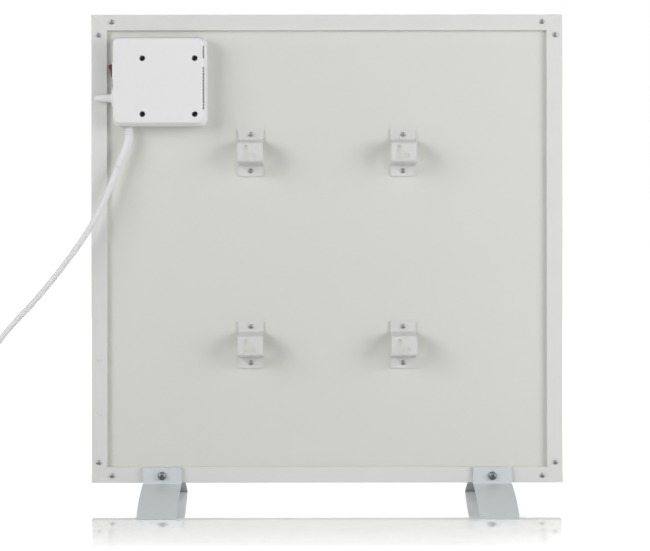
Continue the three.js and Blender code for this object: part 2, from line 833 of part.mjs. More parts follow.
// One long slot and a column of short ones through the cover's right slope
function vents() {
  const widths = [coverFaceWidth, boxWidth];
  const slot = (top, height) => block(
    boxX + Math.min(...widths) / 2 - 3 * boxWall, boxX + Math.max(...widths) / 2 + 1,
    restY - ventDepthTo, restY - ventDepthFrom,
    boxTop - top - height, boxTop - top,
  );
  const shorts = Array.from({ length: ventCount }, (_, i) => slot(ventTop + i * ventPitch, ventHeight));
  return [slot(longVentTop, longVentHeight), ...shorts];
}

// ---- Fittings of the control box ----------------------------------------------------------

// The switch's own frame: its outward direction is -X, and its origin lies on the wall's face
function switchBody() {
  const bezel = extrude(polygon(roundedPoints(bezelWidth, bezelHeight, bezelRadius)), bezelThickness);
  bezel.applyMatrix4(new THREE.Matrix4().makeBasis(Y, Z, X)).translate(-bezelThickness - seatGap, 0, 0);
  const halfWidth = switchBodyWidth / 2;
  const halfHeight = switchBodyHeight / 2;
  const body = block(-bezelThickness / 2, switchBodyDepth, -halfWidth, halfWidth, -halfHeight, halfHeight);
  const wellHalf = rockerReach + rockerSweepGap;
  const well = block(
    -bezelThickness - 1, rockerWellDepth,
    switchWall - halfWidth, halfWidth - switchWall,
    -wellHalf, wellHalf,
  );
  const axle = rod(rockerStub + 2 * fitGap, [-rockerPivotOut, -bezelWidth, 0], [-rockerPivotOut, bezelWidth, 0]);
  const stubRoom = block(
    -rockerPivotOut - rockerStub / 2 - fitGap, -rockerPivotOut + rockerStub / 2 + fitGap,
    -halfWidth - 2 * fitGap, halfWidth + 2 * fitGap, -rockerStub / 2 - fitGap, rockerStub / 2 + fitGap,
  );
  return { solids: [bezel, body], cutters: [well, stubRoom], axle };
}

// The rocker's ends are round about its pivot, and its flat face leans out at the top
function rocker() {
  const open = Math.asin(rockerHalfThickness / rockerReach);
  const side = (from, to) => Array.from({ length: ARC_STEPS + 1 }, (_, step) => {
    const angle = from + ((to - from) * step) / ARC_STEPS;
    return [rockerReach * Math.cos(angle), rockerReach * Math.sin(angle)];
  });
  const outline = polygon([...side(-open, open), ...side(Math.PI - open, Math.PI + open)]);
  const width = switchBodyWidth - 2 * switchWall - 2 * rockerSideGap;
  const lever = extrude(outline, width).translate(0, 0, -width / 2);
  // the outline's first axis becomes Z, its second -X, and its length Y
  lever.applyMatrix4(new THREE.Matrix4().makeBasis(Z, X.clone().negate(), Y.clone().negate()));
  const stubEnd = width / 2 + rockerStubOut;
  return shaped(lever, [rod(rockerStub, [0, -stubEnd, 0], [0, stubEnd, 0], SMALL_SIDES)], []);
}

function sensorPlate() {
  const plate = extrude(
    polygon(roundedPoints(sensorPlateWidth, sensorPlateHeight, sensorPlateRadius)), sensorPlateThickness);
  plate.applyMatrix4(new THREE.Matrix4().makeBasis(Y, Z, X)).translate(-sensorPlateThickness - seatGap, 0, 0);
  const stem = rod(sensorStem, [-sensorPlateThickness / 2, 0, 0], [sensorStemLength, 0, 0]);
  const socket = rod(sensorSpigot + 2 * fitGap, [-sensorPlateThickness - 1, 0, 0], [sensorSpigotLength, 0, 0]);
  return shaped(plate, [stem], [socket]);
}

function sensorSleeve() {
  const tip = sleeveTip / 2;
  return turned([
    [0, -sensorSpigotLength],
    [sensorSpigot / 2, -sensorSpigotLength],
    [sensorSpigot / 2, 0],
    [sleeveRoot / 2, 0],
    [tip, sleeveLength - sleeveTipRadius],
    [tip - sleeveTipRadius * (1 - Math.SQRT1_2), sleeveLength - sleeveTipRadius * (1 - Math.SQRT1_2)],
    [tip - sleeveTipRadius, sleeveLength],
    [0, sleeveLength],
  ], X.clone().negate());
}

// A ribbed bush that hangs from the wall on its stem, and the strain relief that leaves it
function gland() {
  const outer = glandDiameter / 2;
  const ribPitch = bushLength / glandRibs;
  const ribs = Array.from({ length: glandRibs }, (_, i) => [
    [outer, i * ribPitch],
    [outer, (i + 0.6) * ribPitch],
    [outer - glandGroove, (i + 0.6) * ribPitch],
    [outer - glandGroove, (i + 1) * ribPitch],
  ]).flat();
  const bush = turned([
    [0, -glandStemLength],
    [glandStem / 2, -glandStemLength],
    [glandStem / 2, 0],
    ...ribs,
    [0, bushLength],
  ], Z.clone().negate());
  return shaped(bush, [tapered(reliefPoints(new THREE.Vector3()), reliefStart, reliefEnd, reliefSteps)], []);
}

// The strain relief's middle line below a gland that hangs from a place
function reliefPoints(place) {
  return reliefLine.map(([x, y, z]) => new THREE.Vector3(x, y, z - bushLength).add(place));
}

function terminalBlock() {
  const body = block(
    -terminalWidth / 2, terminalWidth / 2,
    -terminalDepth, 0,
    -terminalHeight / 2, terminalHeight / 2,
  );
  const pitch = terminalWidth / terminalPoles;
  const holes = Array.from({ length: terminalPoles }, (_, pole) => (pole - (terminalPoles - 1) / 2) * pitch)
    .flatMap((x) => [-1, 1].map((side) => {
      const z = (side * terminalHeight) / 4;
      return rod(terminalScrewHole, [x, -terminalDepth - 1, z], [x, terminalHoleDepth - terminalDepth, z],
        SMALL_SIDES);
    }));
  return shaped(body, [], holes);
}

function thermalCutout() {
  return turned([
    [0, -cutoutDepth],
    [cutoutDiameter / 2, -cutoutDepth],
    [cutoutDiameter / 2, -cutoutFlangeThickness],
    [cutoutFlange / 2, -cutoutFlangeThickness],
    [cutoutFlange / 2, 0],
    [0, 0],
  ], Y);
}

function controlBox() {
  const switchZ = boxTop - switchDown;
  const { solids, cutters, axle } = switchBody();
  const floorY = restY - boxWall - seatGap;
  const lever = piece('switch_rocker', rocker(), 'redPlastic', [boxLeft - rockerPivotOut, fittingY, switchZ]);
  lever.rotation.y = -THREE.MathUtils.degToRad(rockerTravel / 2);
  const screwY = restY - boxWall - pillarHeight - wellFloor - 2 * seatGap;
  const shape = screw(coverScrew, plateFront - screwY);
  return groupOf([
    piece('box_base', boxBase(), 'boxPlastic'),
    piece('box_cover', boxCover(), 'boxPlastic'),
    ...coverScrewPlaces.map(([name, x, z]) =>
      piece(`cover_screw_${name}`, shape, 'darkSteel', [x, screwY, z])),
    piece('switch_body', shaped(solids[0], [solids[1]], [...cutters, axle]), 'boxPlastic',
      [boxLeft, fittingY, switchZ]),
    lever,
    piece('sensor_plate', sensorPlate(), 'boxPlastic', [boxLeft, fittingY, boxTop - sensorDown]),
    piece('sensor_sleeve', sensorSleeve(), 'boxPlastic',
      [boxLeft - sensorPlateThickness - 2 * seatGap, fittingY, boxTop - sensorDown]),
    piece('cord_gland', gland(), 'whiteRubber', [boxLeft + glandFromLeft, fittingY, boxBottom - seatGap]),
    piece('terminal_block', terminalBlock(), 'whiteRubber', [boxX + terminalRight, floorY, boxZ + terminalUp]),
    piece('thermal_cutout', thermalCutout(), 'blackPlastic', [boxX + cutoutRight, floorY, boxZ - cutoutDown]),
  ]);
}

// ---- Feet -------------------------------------------------------------------------------

// The leg's arc: level under the frame and down to the floor half the feet's spread away
const legTop = floorClearance - fitGap - leafThickness / 2;
const legReach = footSpread / 2;
const legRadius = (legReach ** 2 + legTop ** 2) / (2 * legTop);

// A leaf's middle line in Y and Z: a tab on the rail's back, then the arc towards one side
function leafLine(tabY, side, bendRadius) {
  const arcZ = (y) => Math.sqrt(legRadius ** 2 - y ** 2) + legTop - legRadius;
  const startY = side > 0 ? 0 : tabY;
  const bend = filleted([
    new THREE.Vector2(tabY, bottomZ + leafTabHeight),
    new THREE.Vector2(tabY, arcZ(startY)),
    new THREE.Vector2(tabY + side * 2 * leafBendRadius, arcZ(startY)),
  ], bendRadius);
  const steps = 14;
  const first = side > 0 ? 0 : Math.abs(tabY) + 4 * leafBendRadius;
  const past = legReach + leafThickness;
  const arc = Array.from({ length: steps + 1 }, (_, i) => {
    const y = side * (first + ((past - first) * i) / steps);
    return new THREE.Vector2(y, arcZ(y));
  });
  return [...bend, ...arc];
}

function leaf(tabY, side, bendRadius) {
  const strip = alongX(stripOutline(leafLine(tabY, side, bendRadius), leafThickness), footWidth);
  const hole = rod(footBolt.shank + 2 * fitGap, [0, tabY - 5, footBoltZ], [0, tabY + 5, footBoltZ], SMALL_SIDES);
  const floor = block(-footWidth, footWidth, -footSpread, footSpread, -floorClearance, 0);
  return shaped(strip, [], [hole, floor]);
}

function feet() {
  const frontTabY = backY - seatGap - leafThickness / 2;
  const rearTabY = frontTabY - seatGap - leafThickness;
  const boltY = rearTabY - leafThickness / 2 - seatGap;
  const bolt = screw(footBolt, backY + boltBossLength - boltY);
  // the front leaf's bend is tight enough to hug the rail's soft lower edge
  const frontLeaf = leaf(frontTabY, 1, leafThickness / 2 + railEdgeRadius / 2);
  const rearLeaf = leaf(rearTabY, -1, leafBendRadius);
  return groupOf(footXs.flatMap((x) => {
    const name = x < 0 ? 'left' : 'right';
    return [
      piece(`foot_front_leaf_${name}`, frontLeaf, 'zinc', [x, 0, 0]),
      piece(`foot_rear_leaf_${name}`, rearLeaf, 'zinc', [x, 0, 0]),
      piece(`foot_bolt_${name}`, bolt, 'darkSteel', [x, boltY, footBoltZ]),
    ];
  }));
}

// ---- Cord and plug ----------------------------------------------------------------------

const coilRadius = coilWidth / 2;
const coilPitch = cordDiameter + coilGap;

// A tube along points, with flat ends
function tube(points, steps, sides) {
  const path = new THREE.CatmullRomCurve3(points);
  path.arcLengthDivisions = 20 * steps;
  const section = Array.from({ length: sides }, (_, i) => {
    const angle = (2 * Math.PI * i) / sides;
    return new THREE.Vector2(cordRadius * Math.cos(angle), cordRadius * Math.sin(angle));
  });
  return new THREE.ExtrudeGeometry(new THREE.Shape(section), { steps, extrudePath: path, bevelEnabled: false });
}

// Turns that spiral in on the floor, climb at the middle and spiral out on top of themselves
function coilPoint(turn) {
  const fromMiddle = turn - coilTurnsPerLayer;
  const radius = coilRadius - coilPitch * (coilTurnsPerLayer - Math.abs(fromMiddle));
  const angle = 2 * Math.PI * turn;
  const climb = THREE.MathUtils.smoothstep(fromMiddle, -0.25, 0.25);
  return new THREE.Vector3(
    coilCentreX + radius * Math.cos(angle),
    coilCentreY + radius * Math.sin(angle),
    cordZ + coilPitch * climb,
  );
}

const loopSteps = 24;
const loopSides = 6;
const leadSteps = 38;
const leadSides = 8;
const coilTurns = 2 * coilTurnsPerLayer;
const coilEnd = coilPoint(coilTurns);
const plugZ = plugDiameter / 2 + cordLift;
const tailEnd = new THREE.Vector3(coilEnd.x, coilEnd.y - tailLength, plugZ);

function coilLine() {
  const start = coilPoint(0);
  const runIn = [coilRunIn, cordDiameter / 2].map((back) => new THREE.Vector3(start.x, start.y - back, start.z));
  const count = Math.round(coilTurns * loopSteps);
  const loops = Array.from({ length: count + 1 }, (_, i) => coilPoint((coilTurns * i) / count));
  const rise = [0.25, 0.5, 0.75].map((share) => new THREE.Vector3(
    coilEnd.x,
    coilEnd.y - (tailLength - 1.5 * cordDiameter) * share,
    THREE.MathUtils.lerp(coilEnd.z, plugZ, THREE.MathUtils.smoothstep(share, 0, 1)),
  ));
  const runOut = [1.5, 0.75, 0].map((back) => tailEnd.clone().setY(tailEnd.y + back * cordDiameter));
  return [...runIn, ...loops, ...rise, ...runOut];
}

// The least distance between stretches of the coil that lie apart along the cord
function leastGap(points) {
  const path = new THREE.CatmullRomCurve3(points);
  path.arcLengthDivisions = 4000;
  const spaced = path.getSpacedPoints(1500);
  const apart = Math.ceil((6 * cordDiameter * spaced.length) / path.getLength());
  let least = Infinity;
  for (let i = 0; i < spaced.length; i += 1) {
    for (let j = i + apart; j < spaced.length; j += 1) {
      least = Math.min(least, spaced[i].distanceTo(spaced[j]));
    }
  }
  return least - cordDiameter;
}

function plugBody() {
  const wide = plugDiameter / 2;
  const grip = plugNeckLength + (plugLength - plugNeckLength) / 2;
  const profile = turned([
    [0, 0],
    [plugEntry / 2, 0],
    [plugNeck / 2, plugNeckLength],
    [plugWaist / 2, plugNeckLength + plugShoulder],
    [plugGrip / 2, grip],
    [wide, grip + plugFlare],
    [wide, plugLength - plugRim],
    [wide - plugRim, plugLength],
    [0, plugLength],
  ], Y.clone().negate(), 2 * SMALL_SIDES);
  const sockets = [-1, 1].map((side) => {
    const x = (side * pinPitch) / 2;
    return rod(pinDiameter + 2 * fitGap, [x, pinSunk - plugLength, 0], [x, -plugLength - 1, 0], SMALL_SIDES);
  });
  return shaped(profile, [], sockets);
}

function plugPin() {
  return turned([
    [0, 0],
    [pinDiameter / 2, 0],
    [pinDiameter / 2, pinSunk + pinLength - pinTip],
    [pinDiameter / 2 - pinTip, pinSunk + pinLength],
    [0, pinSunk + pinLength],
  ], Y.clone().negate(), SMALL_SIDES);
}

function cordAndPlug() {
  const glandPlace = new THREE.Vector3(boxLeft + glandFromLeft, fittingY, boxBottom - seatGap);
  const relief = new THREE.CatmullRomCurve3(reliefPoints(glandPlace));
  const heading = relief.getTangent(1);
  const exit = relief.getPoint(1).addScaledVector(heading, fitGap);
  const start = coilPoint(0);
  const joinY = start.y - coilRunIn - fitGap;
  const lead = [
    exit,
    exit.clone().addScaledVector(heading, cordDiameter),
    ...cordRoute.map((point) => new THREE.Vector3(...point)),
    new THREE.Vector3(start.x, joinY - 3 * cordDiameter, cordZ),
    new THREE.Vector3(start.x, joinY - cordDiameter, cordZ),
    new THREE.Vector3(start.x, joinY, cordZ),
  ];
  const coil = coilLine();
  console.log(`least gap of the coil to itself: ${leastGap(coil).toFixed(2)} mm`);
  const lengths = [lead, coil].map((points) => new THREE.CatmullRomCurve3(points).getLength());
  console.log(`cord length: ${(lengths[0] + lengths[1]).toFixed(0)} mm`);
  const plugY = tailEnd.y - fitGap;
  const pinY = plugY - plugLength + pinSunk - fitGap;
  return groupOf([
    piece('cord_lead', tube(lead, leadSteps, leadSides), 'whiteRubber'),
    piece('cord_coil', tube(coil, Math.round(coilTurns * loopSteps) + 8, loopSides), 'whiteRubber'),
    piece('plug_body', plugBody(), 'whiteRubber', [tailEnd.x, plugY, plugZ]),
    piece('plug_pin_left', plugPin(), 'brass', [tailEnd.x - pinPitch / 2, pinY, plugZ]),
    piece('plug_pin_right', plugPin(), 'brass', [tailEnd.x + pinPitch / 2, pinY, plugZ]),
  ]);
}

export default groupOf([frame(), layers(), hangers(), controlBox(), feet(), cordAndPlug()]);
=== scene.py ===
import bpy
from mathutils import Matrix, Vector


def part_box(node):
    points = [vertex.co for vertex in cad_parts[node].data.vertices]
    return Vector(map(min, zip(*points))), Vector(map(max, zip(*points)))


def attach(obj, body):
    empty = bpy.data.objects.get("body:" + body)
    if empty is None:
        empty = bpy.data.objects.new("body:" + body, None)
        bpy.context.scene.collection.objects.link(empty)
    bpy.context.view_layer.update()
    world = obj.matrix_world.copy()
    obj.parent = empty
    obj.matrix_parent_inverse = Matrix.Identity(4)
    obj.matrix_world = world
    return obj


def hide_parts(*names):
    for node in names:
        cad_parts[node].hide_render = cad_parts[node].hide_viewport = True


bl_info = {
    "name": "Infrared Panel Heater",
    "version": (1, 0, 0),
    "blender": (4, 5, 0),
    "location": "View3D > Sidebar > Heater",
    "description": "Builds the finished pieces of an infrared panel heater on its frame, seen from behind",
    "category": "Object",
}

import math
from functools import partial

import bmesh
import bpy
from bpy.props import FloatProperty, FloatVectorProperty, IntProperty, PointerProperty
from bpy.types import Operator, Panel, PropertyGroup
from mathutils import Matrix, Vector

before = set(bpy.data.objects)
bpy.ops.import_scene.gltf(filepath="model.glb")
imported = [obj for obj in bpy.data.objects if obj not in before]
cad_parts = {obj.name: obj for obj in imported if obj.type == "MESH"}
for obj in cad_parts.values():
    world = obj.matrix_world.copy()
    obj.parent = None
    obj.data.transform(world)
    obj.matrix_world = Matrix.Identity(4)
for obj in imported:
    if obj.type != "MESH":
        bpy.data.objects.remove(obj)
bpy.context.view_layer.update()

MM = 0.001
# Points that are closer together than SAME are one, and points closer to a plane than NEAR lie on it
SAME, NEAR = 0.001 * MM, 0.01 * MM
# Pieces that lie on one another keep this gap
GAP = 0.1 * MM
ACROSS, BEHIND, UP = Vector((1, 0, 0)), Vector((0, -1, 0)), Vector((0, 0, 1))
CORNERS = ("upper_left", "upper_right", "lower_left", "lower_right")
# The left side, the back and the bottom of the control box's base
BOX_SIDE, BOX_BACK, BOX_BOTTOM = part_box("box_base")[0]


# ---- Sizes and colours ----


def linear(hexcode):
    """An sRGB hex colour as linear red, green and blue, and an alpha of one"""
    channels = [int(hexcode[i:i + 2], 16) / 255 for i in (0, 2, 4)]
    return tuple(c / 12.92 if c <= 0.04045 else ((c + 0.055) / 1.055) ** 2.4 for c in channels) + (1.0,)


def length(name, description, millimetres):
    """A length property, given in millimetres and kept in metres"""
    return FloatProperty(
        name=name, description=description, default=millimetres * MM, min=0, precision=5,
        subtype="DISTANCE", unit="LENGTH",
    )


def colour(name, description, hexcode):
    """A colour property with an sRGB hex default"""
    return FloatVectorProperty(
        name=name, description=description, default=linear(hexcode), size=4, min=0, max=1, subtype="COLOR",
    )


class HeaterSizes(PropertyGroup):
    flange: length("Rail flange", "Width of the frame rails' back flange", 20)
    lip: length("Rail lip", "Depth of the lip that the back sheet lies behind", 5)
    rail_wall: length("Rail wall", "Wall of the rails", 1.6)
    front_lip: length("Front lip", "Width of the rails' front lip", 7)
    rail_radius: length("Rail edge radius", "Rounding of the rails' outer corners", 0.9)
    mitre_gap: length("Mitre gap", "Half of the gap between two mitred rails", 0.08)
    strap: length("Strap thickness", "Sheet thickness of the wall hangers", 2)
    strap_bend: length("Strap bend radius", "Radius of the hangers' bends at mid-sheet", 3)
    strap_foot_span: length("Strap foot span", "Height of a hanger's raised part at its foot", 33)
    strap_face_span: length("Strap face span", "Height of a hanger's raised face", 25)
    keyhole_entry: length("Keyhole entry", "Diameter of the hole that a wall screw's head enters", 9.5)
    keyhole_slot: length("Keyhole slot", "Width of the keyhole's two slots", 5.5)
    keyhole_arm: length("Keyhole arm", "Length of the keyhole's slots", 11)
    box_radius: length("Box corner radius", "Rounding of the control box's upright corners", 8)
    box_wall: length("Box wall", "Wall of the control box", 2)
    box_edge: length("Box edge radius", "Rounding round the cover's face", 1.4)
    cover_face_width: length("Cover face width", "Width of the cover's flat face", 111.9)
    cover_face_height: length("Cover face height", "Height of the cover's flat face", 105.2)
    cover_face_shift: length("Cover face shift", "How far the face is to the left of the box's middle", 2.15)
    cover_face_lift: length("Cover face lift", "How far the face is above the box's middle", 0.8)
    well: length("Screw well", "Diameter of the cover's screw wells", 7.2)
    rocker_groove: length("Rocker groove", "Depth of the rocker's V at its middle", 1)
    leaf: length("Foot leaf thickness", "Sheet thickness of the feet's leaves", 2)
    leaf_bend: length("Foot bend radius", "Radius of the rear leaf's bend at mid-sheet", 3)
    bush_diameter: length("Bush diameter", "Diameter of the gland's ribs", 10.6)
    relief_start: length("Strain relief's start", "Diameter of the strain relief at the bush", 10.2)
    relief_end: length("Strain relief's end", "Diameter of the strain relief where the cord leaves it", 8.4)
    cord_diameter: length("Cord diameter", "Diameter of the mains cord", 7.4)
    cord_length: length("Cord length", "Length of the mains cord without its plug", 1750)
    coil_turns: FloatProperty(
        name="Coil turns", description="Turns in each of the coil's two layers", default=2.25, min=1)
    vent_count: IntProperty(name="Vents", description="Short vent slots in the cover", default=14, min=1)


class HeaterColours(PropertyGroup):
    frame_paint: colour("Frame paint", "Powder coat of the rails", "D9D9D8")
    back_sheet: colour("Back sheet", "Coated steel sheet at the back", "D5D6D0")
    radiant: colour("Radiant panel", "Textured coat of the front", "ECECEA")
    strap: colour("Hangers", "Paint of the wall hangers", "D4D4D3")
    feet: colour("Feet", "Coat of the feet", "CFD5D7")
    box: colour("Control box", "Moulded plastic of the control box", "E5E5E6")
    red: colour("Rocker", "Red plastic of the switch's rocker", "5E0C10")
    black: colour("Dark plastic", "Dark moulded plastic", "202022")
    cord: colour("Cord", "Soft sheath of the cord, gland and plug", "E0E0E2")


# ---- Finishes ----


def add_node(tree, kind, inputs=None, **settings):
    """Adds a shader node, sets it up, and fills its inputs with values or other nodes' outputs

    A node among the inputs stands for its first output."""
    node = tree.nodes.new("ShaderNode" + kind)
    for name, value in settings.items():
        setattr(node, name, value)
    for key, value in (inputs or {}).items():
        if isinstance(value, bpy.types.Node):
            value = value.outputs[0]
        if isinstance(value, bpy.types.NodeSocket):
            tree.links.new(value, node.inputs[key])
        else:
            node.inputs[key].default_value = value
    return node


def empty_finish(name):
    """What adds nodes to a new material, and the object's own coordinates in it"""
    material = bpy.data.materials.new(name)
    material.use_nodes = True
    material.node_tree.nodes.clear()
    add = partial(add_node, material.node_tree)
    return add, add("TexCoord").outputs["Object"]


def shaded(base, factor):
    """A colour made darker or lighter by one factor"""
    return tuple(min(1.0, c * factor) for c in base[:3]) + (1.0,)


def end_finish(add, base, tones, cloud, gloss, texture, depth, more):
    """Ends a finish: two tones of its colour in a cloud, gloss that follows a pattern, and a relief

    gloss is the pattern, the span of its values that counts, and the roughness at that span's two ends."""
    pattern, low, high, smoothest, roughest = gloss
    tone = add("Mix", {0: cloud, 6: shaded(base, tones[0]), 7: shaded(base, tones[1])}, data_type="RGBA")
    roughness = add("MapRange", {
        "Value": pattern, "From Min": low, "From Max": high, "To Min": smoothest, "To Max": roughest})
    relief = add("Bump", {"Height": texture, "Distance": depth * MM})
    shader = add("BsdfPrincipled", {
        "Base Color": tone.outputs[2], "Roughness": roughness, "Normal": relief, **more})
    add("OutputMaterial", {"Surface": shader})


def coat(kind, base, roughness, blotch, spread, grain, depth, sheen=0.0, ior=1.5, metallic=0.0):
    """A coat or skin: blotches of a slightly darker tone and of gloss, and a fine grain in the surface

    blotch and grain are the sizes of the patterns and depth the grain's, in millimetres, and spread is the
    blotches' share of darkening."""
    add, place = empty_finish(kind)
    cloud = add("TexNoise", {"Vector": place, "Scale": 1 / (blotch * MM), "Detail": 3.0})
    texture = add("TexNoise", {"Vector": place, "Scale": 1 / (grain * MM), "Detail": 2.0})
    gloss = (cloud, 0.25, 0.75, roughness * 0.88, min(1.0, roughness * 1.12))
    end_finish(add, base, (1 + spread, 1 - spread), cloud, gloss, texture, depth, {
        "Metallic": metallic, "Coat Weight": sheen, "Coat Roughness": 0.25, "IOR": ior})


def brushed(kind, base, roughness, line, depth, axis):
    """A bare or plated metal: fine lines along one axis in its gloss and relief, and cloudy patches of tone

    line is the width of the lines' pattern and depth their depth, in millimetres."""
    add, place = empty_finish(kind)
    stretch = [1.0, 1.0, 1.0]
    stretch["XYZ".index(axis)] = 0.04
    lengthened = add("Mapping", {"Vector": place, "Scale": stretch})
    lines = add("TexNoise", {"Vector": lengthened, "Scale": 1 / (line * MM), "Detail": 4.0})
    # patches about 11 mm wide
    cloud = add("TexNoise", {"Vector": place, "Scale": 90.0, "Detail": 4.0})
    gloss = (lines, 0.3, 0.7, roughness * 0.8, roughness * 1.25)
    end_finish(add, base, (1.08, 0.9), cloud, gloss, lines, depth, {"Metallic": 1.0})


# Each finish: the function that makes it, its colour, and the other values of that function in its order.
# A colour is one of HeaterColours, or a hex value for what a user would hardly change.
FINISHES = {
    # polyester powder coat on aluminium: satin, with a faint orange peel about 2 mm across
    "white_powder_coat": (coat, "frame_paint", 0.42, 45, 0.012, 2, 0.02, 0.1),
    # coil-coated steel sheet: duller and a little warmer, with a long shallow waviness
    "coated_steel_sheet": (coat, "back_sheet", 0.5, 120, 0.012, 60, 0.25),
    # textured powder coat on the hot side: fine leather-like grain, drawn 1.6 mm wide so that it shows
    "textured_radiant_coat": (coat, "radiant", 0.6, 80, 0.01, 1.6, 0.08),
    # stove enamel on bent strip: satin, with small patches of gloss
    "painted_strap": (coat, "strap", 0.4, 12, 0.02, 1.5, 0.015, 0.1),
    # powder-coated silver-grey sheet of the feet: smooth, cool in tone, a little metallic
    "silver_grey_coat": (coat, "feet", 0.38, 25, 0.02, 1.8, 0.015, 0.0, 1.5, 0.15),
    # moulded ABS: fine spark-eroded grain, drawn 0.9 mm wide so that it shows, soft gloss
    "moulded_abs": (coat, "box", 0.38, 30, 0.008, 0.9, 0.012, 0.08),
    # moulded nylon in the rails' own tone: dull, so that the plugs hardly show
    "pale_nylon": (coat, "frame_paint", 0.55, 5, 0.01, 0.8, 0.01),
    # moulded polycarbonate of the rocker: dark red and glossy
    "red_polycarbonate": (coat, "red", 0.2, 6, 0.06, 1.2, 0.01, 0.0, 1.58),
    # moulded polyamide of the thermal cutout: nearly black, half matt
    "dark_polyamide": (coat, "black", 0.45, 10, 0.08, 0.8, 0.015, 0.0, 1.53),
    # soft PVC sheath: waxy, with a slow unevenness from the extruder
    "soft_pvc": (coat, "cord", 0.48, 18, 0.015, 2.5, 0.006, 0.0, 1.53),
    # glazed ceramic of the terminal block: off-white and glossy
    "glazed_ceramic": (coat, "E9E7E0", 0.25, 8, 0.02, 1, 0.01),
    # pressed mineral wool: matt, straw-coloured, coarse fibres
    "mineral_board": (coat, "D8C994", 0.95, 9, 0.12, 1.2, 0.4),
    # carbon-printed heating film: brown-black, half matt
    "carbon_film": (coat, "2A2622", 0.5, 14, 0.1, 2, 0.02),
    # zinc-plated screws: mid grey, with bright and dark glints in the recess
    "zinc_plate": (brushed, "94989B", 0.36, 1.2, 0.01, "X"),
    # dull zinc of the feet's bolts: darker
    "dull_zinc": (brushed, "76797D", 0.4, 1.2, 0.01, "X"),
    # black-oxide screws down the wells: dark grey
    "black_oxide": (brushed, "56565A", 0.36, 1.2, 0.01, "X"),
    # mill-finished aluminium: pale, with the extrusion's lines along it
    "mill_aluminium": (brushed, "C6C8CA", 0.38, 1.5, 0.02, "Z"),
    # nickel-plated brass pins: pale, warm and bright
    "nickel_plate": (brushed, "CFC8B6", 0.22, 0.8, 0.006, "Y"),
}


def finish(kind):
    """The finish of that kind, made when it is first asked for"""
    if kind not in bpy.data.materials:
        make, shade, *values = FINISHES[kind]
        colours = bpy.context.scene.heater_colours
        make(kind, getattr(colours, shade) if shade in colours.bl_rna.properties else linear(shade), *values)
    return bpy.data.materials[kind]


def dress(kind, *nodes):
    """Gives CAD nodes a finish"""
    for name in nodes:
        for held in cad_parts[name].material_slots:
            held.material = finish(kind)


# ---- Forms ----


def middle_of(node):
    """The middle of a node's box"""
    low, high = map(Vector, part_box(node))
    return (low + high) / 2


def seat(node, rise=None):
    """The middle of a node's front, or the point a rise in millimetres in from the middle of its back"""
    low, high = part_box(node)
    return (low[0] + high[0]) / 2, high[1] if rise is None else low[1] + rise * MM, (low[2] + high[2]) / 2


def added(name, data):
    """A new object in the scene"""
    held = bpy.data.objects.new(name, data)
    bpy.context.collection.objects.link(held)
    return held


def mesh_of(form, name="form"):
    """Turns a form into a mesh"""
    mesh = bpy.data.meshes.new(name)
    form.to_mesh(mesh)
    form.free()
    return mesh


def outward(form):
    """Turns a form's faces outwards"""
    bmesh.ops.recalc_face_normals(form, faces=form.faces)


def moved_part(made):
    """The vertices that an extrusion has made"""
    return [part for part in made["geom"] if isinstance(part, bmesh.types.BMVert)]


def block(low, high):
    """A box between two corners"""
    form = bmesh.new()
    bmesh.ops.create_cube(form, size=1)
    low, high = Vector(low), Vector(high)
    bmesh.ops.scale(form, vec=high - low, verts=form.verts)
    return placed(form, (low + high) / 2, UP)


def rod(radius, depth, segments):
    """A cylinder along Z round the origin"""
    form = bmesh.new()
    bmesh.ops.create_cone(form, cap_ends=True, segments=segments, radius1=radius, radius2=radius, depth=depth)
    return form


def turned(profile, steps=40):
    """Pairs of a radius and a height in millimetres, spun round Z"""
    form = bmesh.new()
    line = [form.verts.new((radius * MM, 0, height * MM)) for radius, height in profile]
    edges = [form.edges.new(pair) for pair in zip(line, line[1:])]
    bmesh.ops.spin(
        form, geom=line + edges, cent=(0, 0, 0), axis=UP, angle=2 * math.pi, steps=steps, use_merge=True)
    bmesh.ops.remove_doubles(form, verts=form.verts, dist=SAME)
    outward(form)
    return form


def bevelled(form, edges, radius, segments, clamp=True):
    """Rounds edges in an arc"""
    bmesh.ops.bevel(
        form, geom=edges, offset=radius, offset_type="OFFSET", segments=segments, profile=0.5,
        affect="EDGES", material=-1, clamp_overlap=clamp)
    return form


def rounded(form, radius, segments, where=lambda edge: True, angle=25):
    """Rounds the edges that turn by more than an angle, or those of them that a test picks"""
    least = math.radians(angle)
    turning = [edge for edge in form.edges if edge.is_manifold and edge.calc_face_angle() > least]
    return bevelled(form, list(filter(where, turning)), radius, segments)


def runs_along(edge, axis):
    """Whether an edge is parallel to an axis"""
    return abs((edge.verts[1].co - edge.verts[0].co).normalized().dot(axis)) > 0.999


def lies(edge, axis, low=-math.inf, high=math.inf):
    """Whether both ends of an edge lie between two values of x, y or z"""
    return all(low < getattr(vert.co, axis) < high for vert in edge.verts)


def cut(form, at, normal, clear=True):
    """Cuts a form along a plane, and takes away what lies past it and closes the cut unless clear is off"""
    bmesh.ops.bisect_plane(
        form, geom=form.verts[:] + form.edges[:] + form.faces[:], clear_outer=clear,
        plane_co=at, plane_no=normal)
    bmesh.ops.holes_fill(form, edges=form.edges[:], sides=0)


def placed(form, at, axis=BEHIND):
    """Turns a form's Z to an axis and puts its origin at a point"""
    turn = UP.rotation_difference(Vector(axis)).to_matrix().to_4x4()
    bmesh.ops.transform(form, matrix=Matrix.Translation(at) @ turn, verts=form.verts)
    return form


def joined(*forms):
    """Several forms in one, as they lie"""
    whole = bmesh.new()
    for form in forms:
        mesh = mesh_of(form)
        whole.from_mesh(mesh)
        bpy.data.meshes.remove(mesh)
    return whole


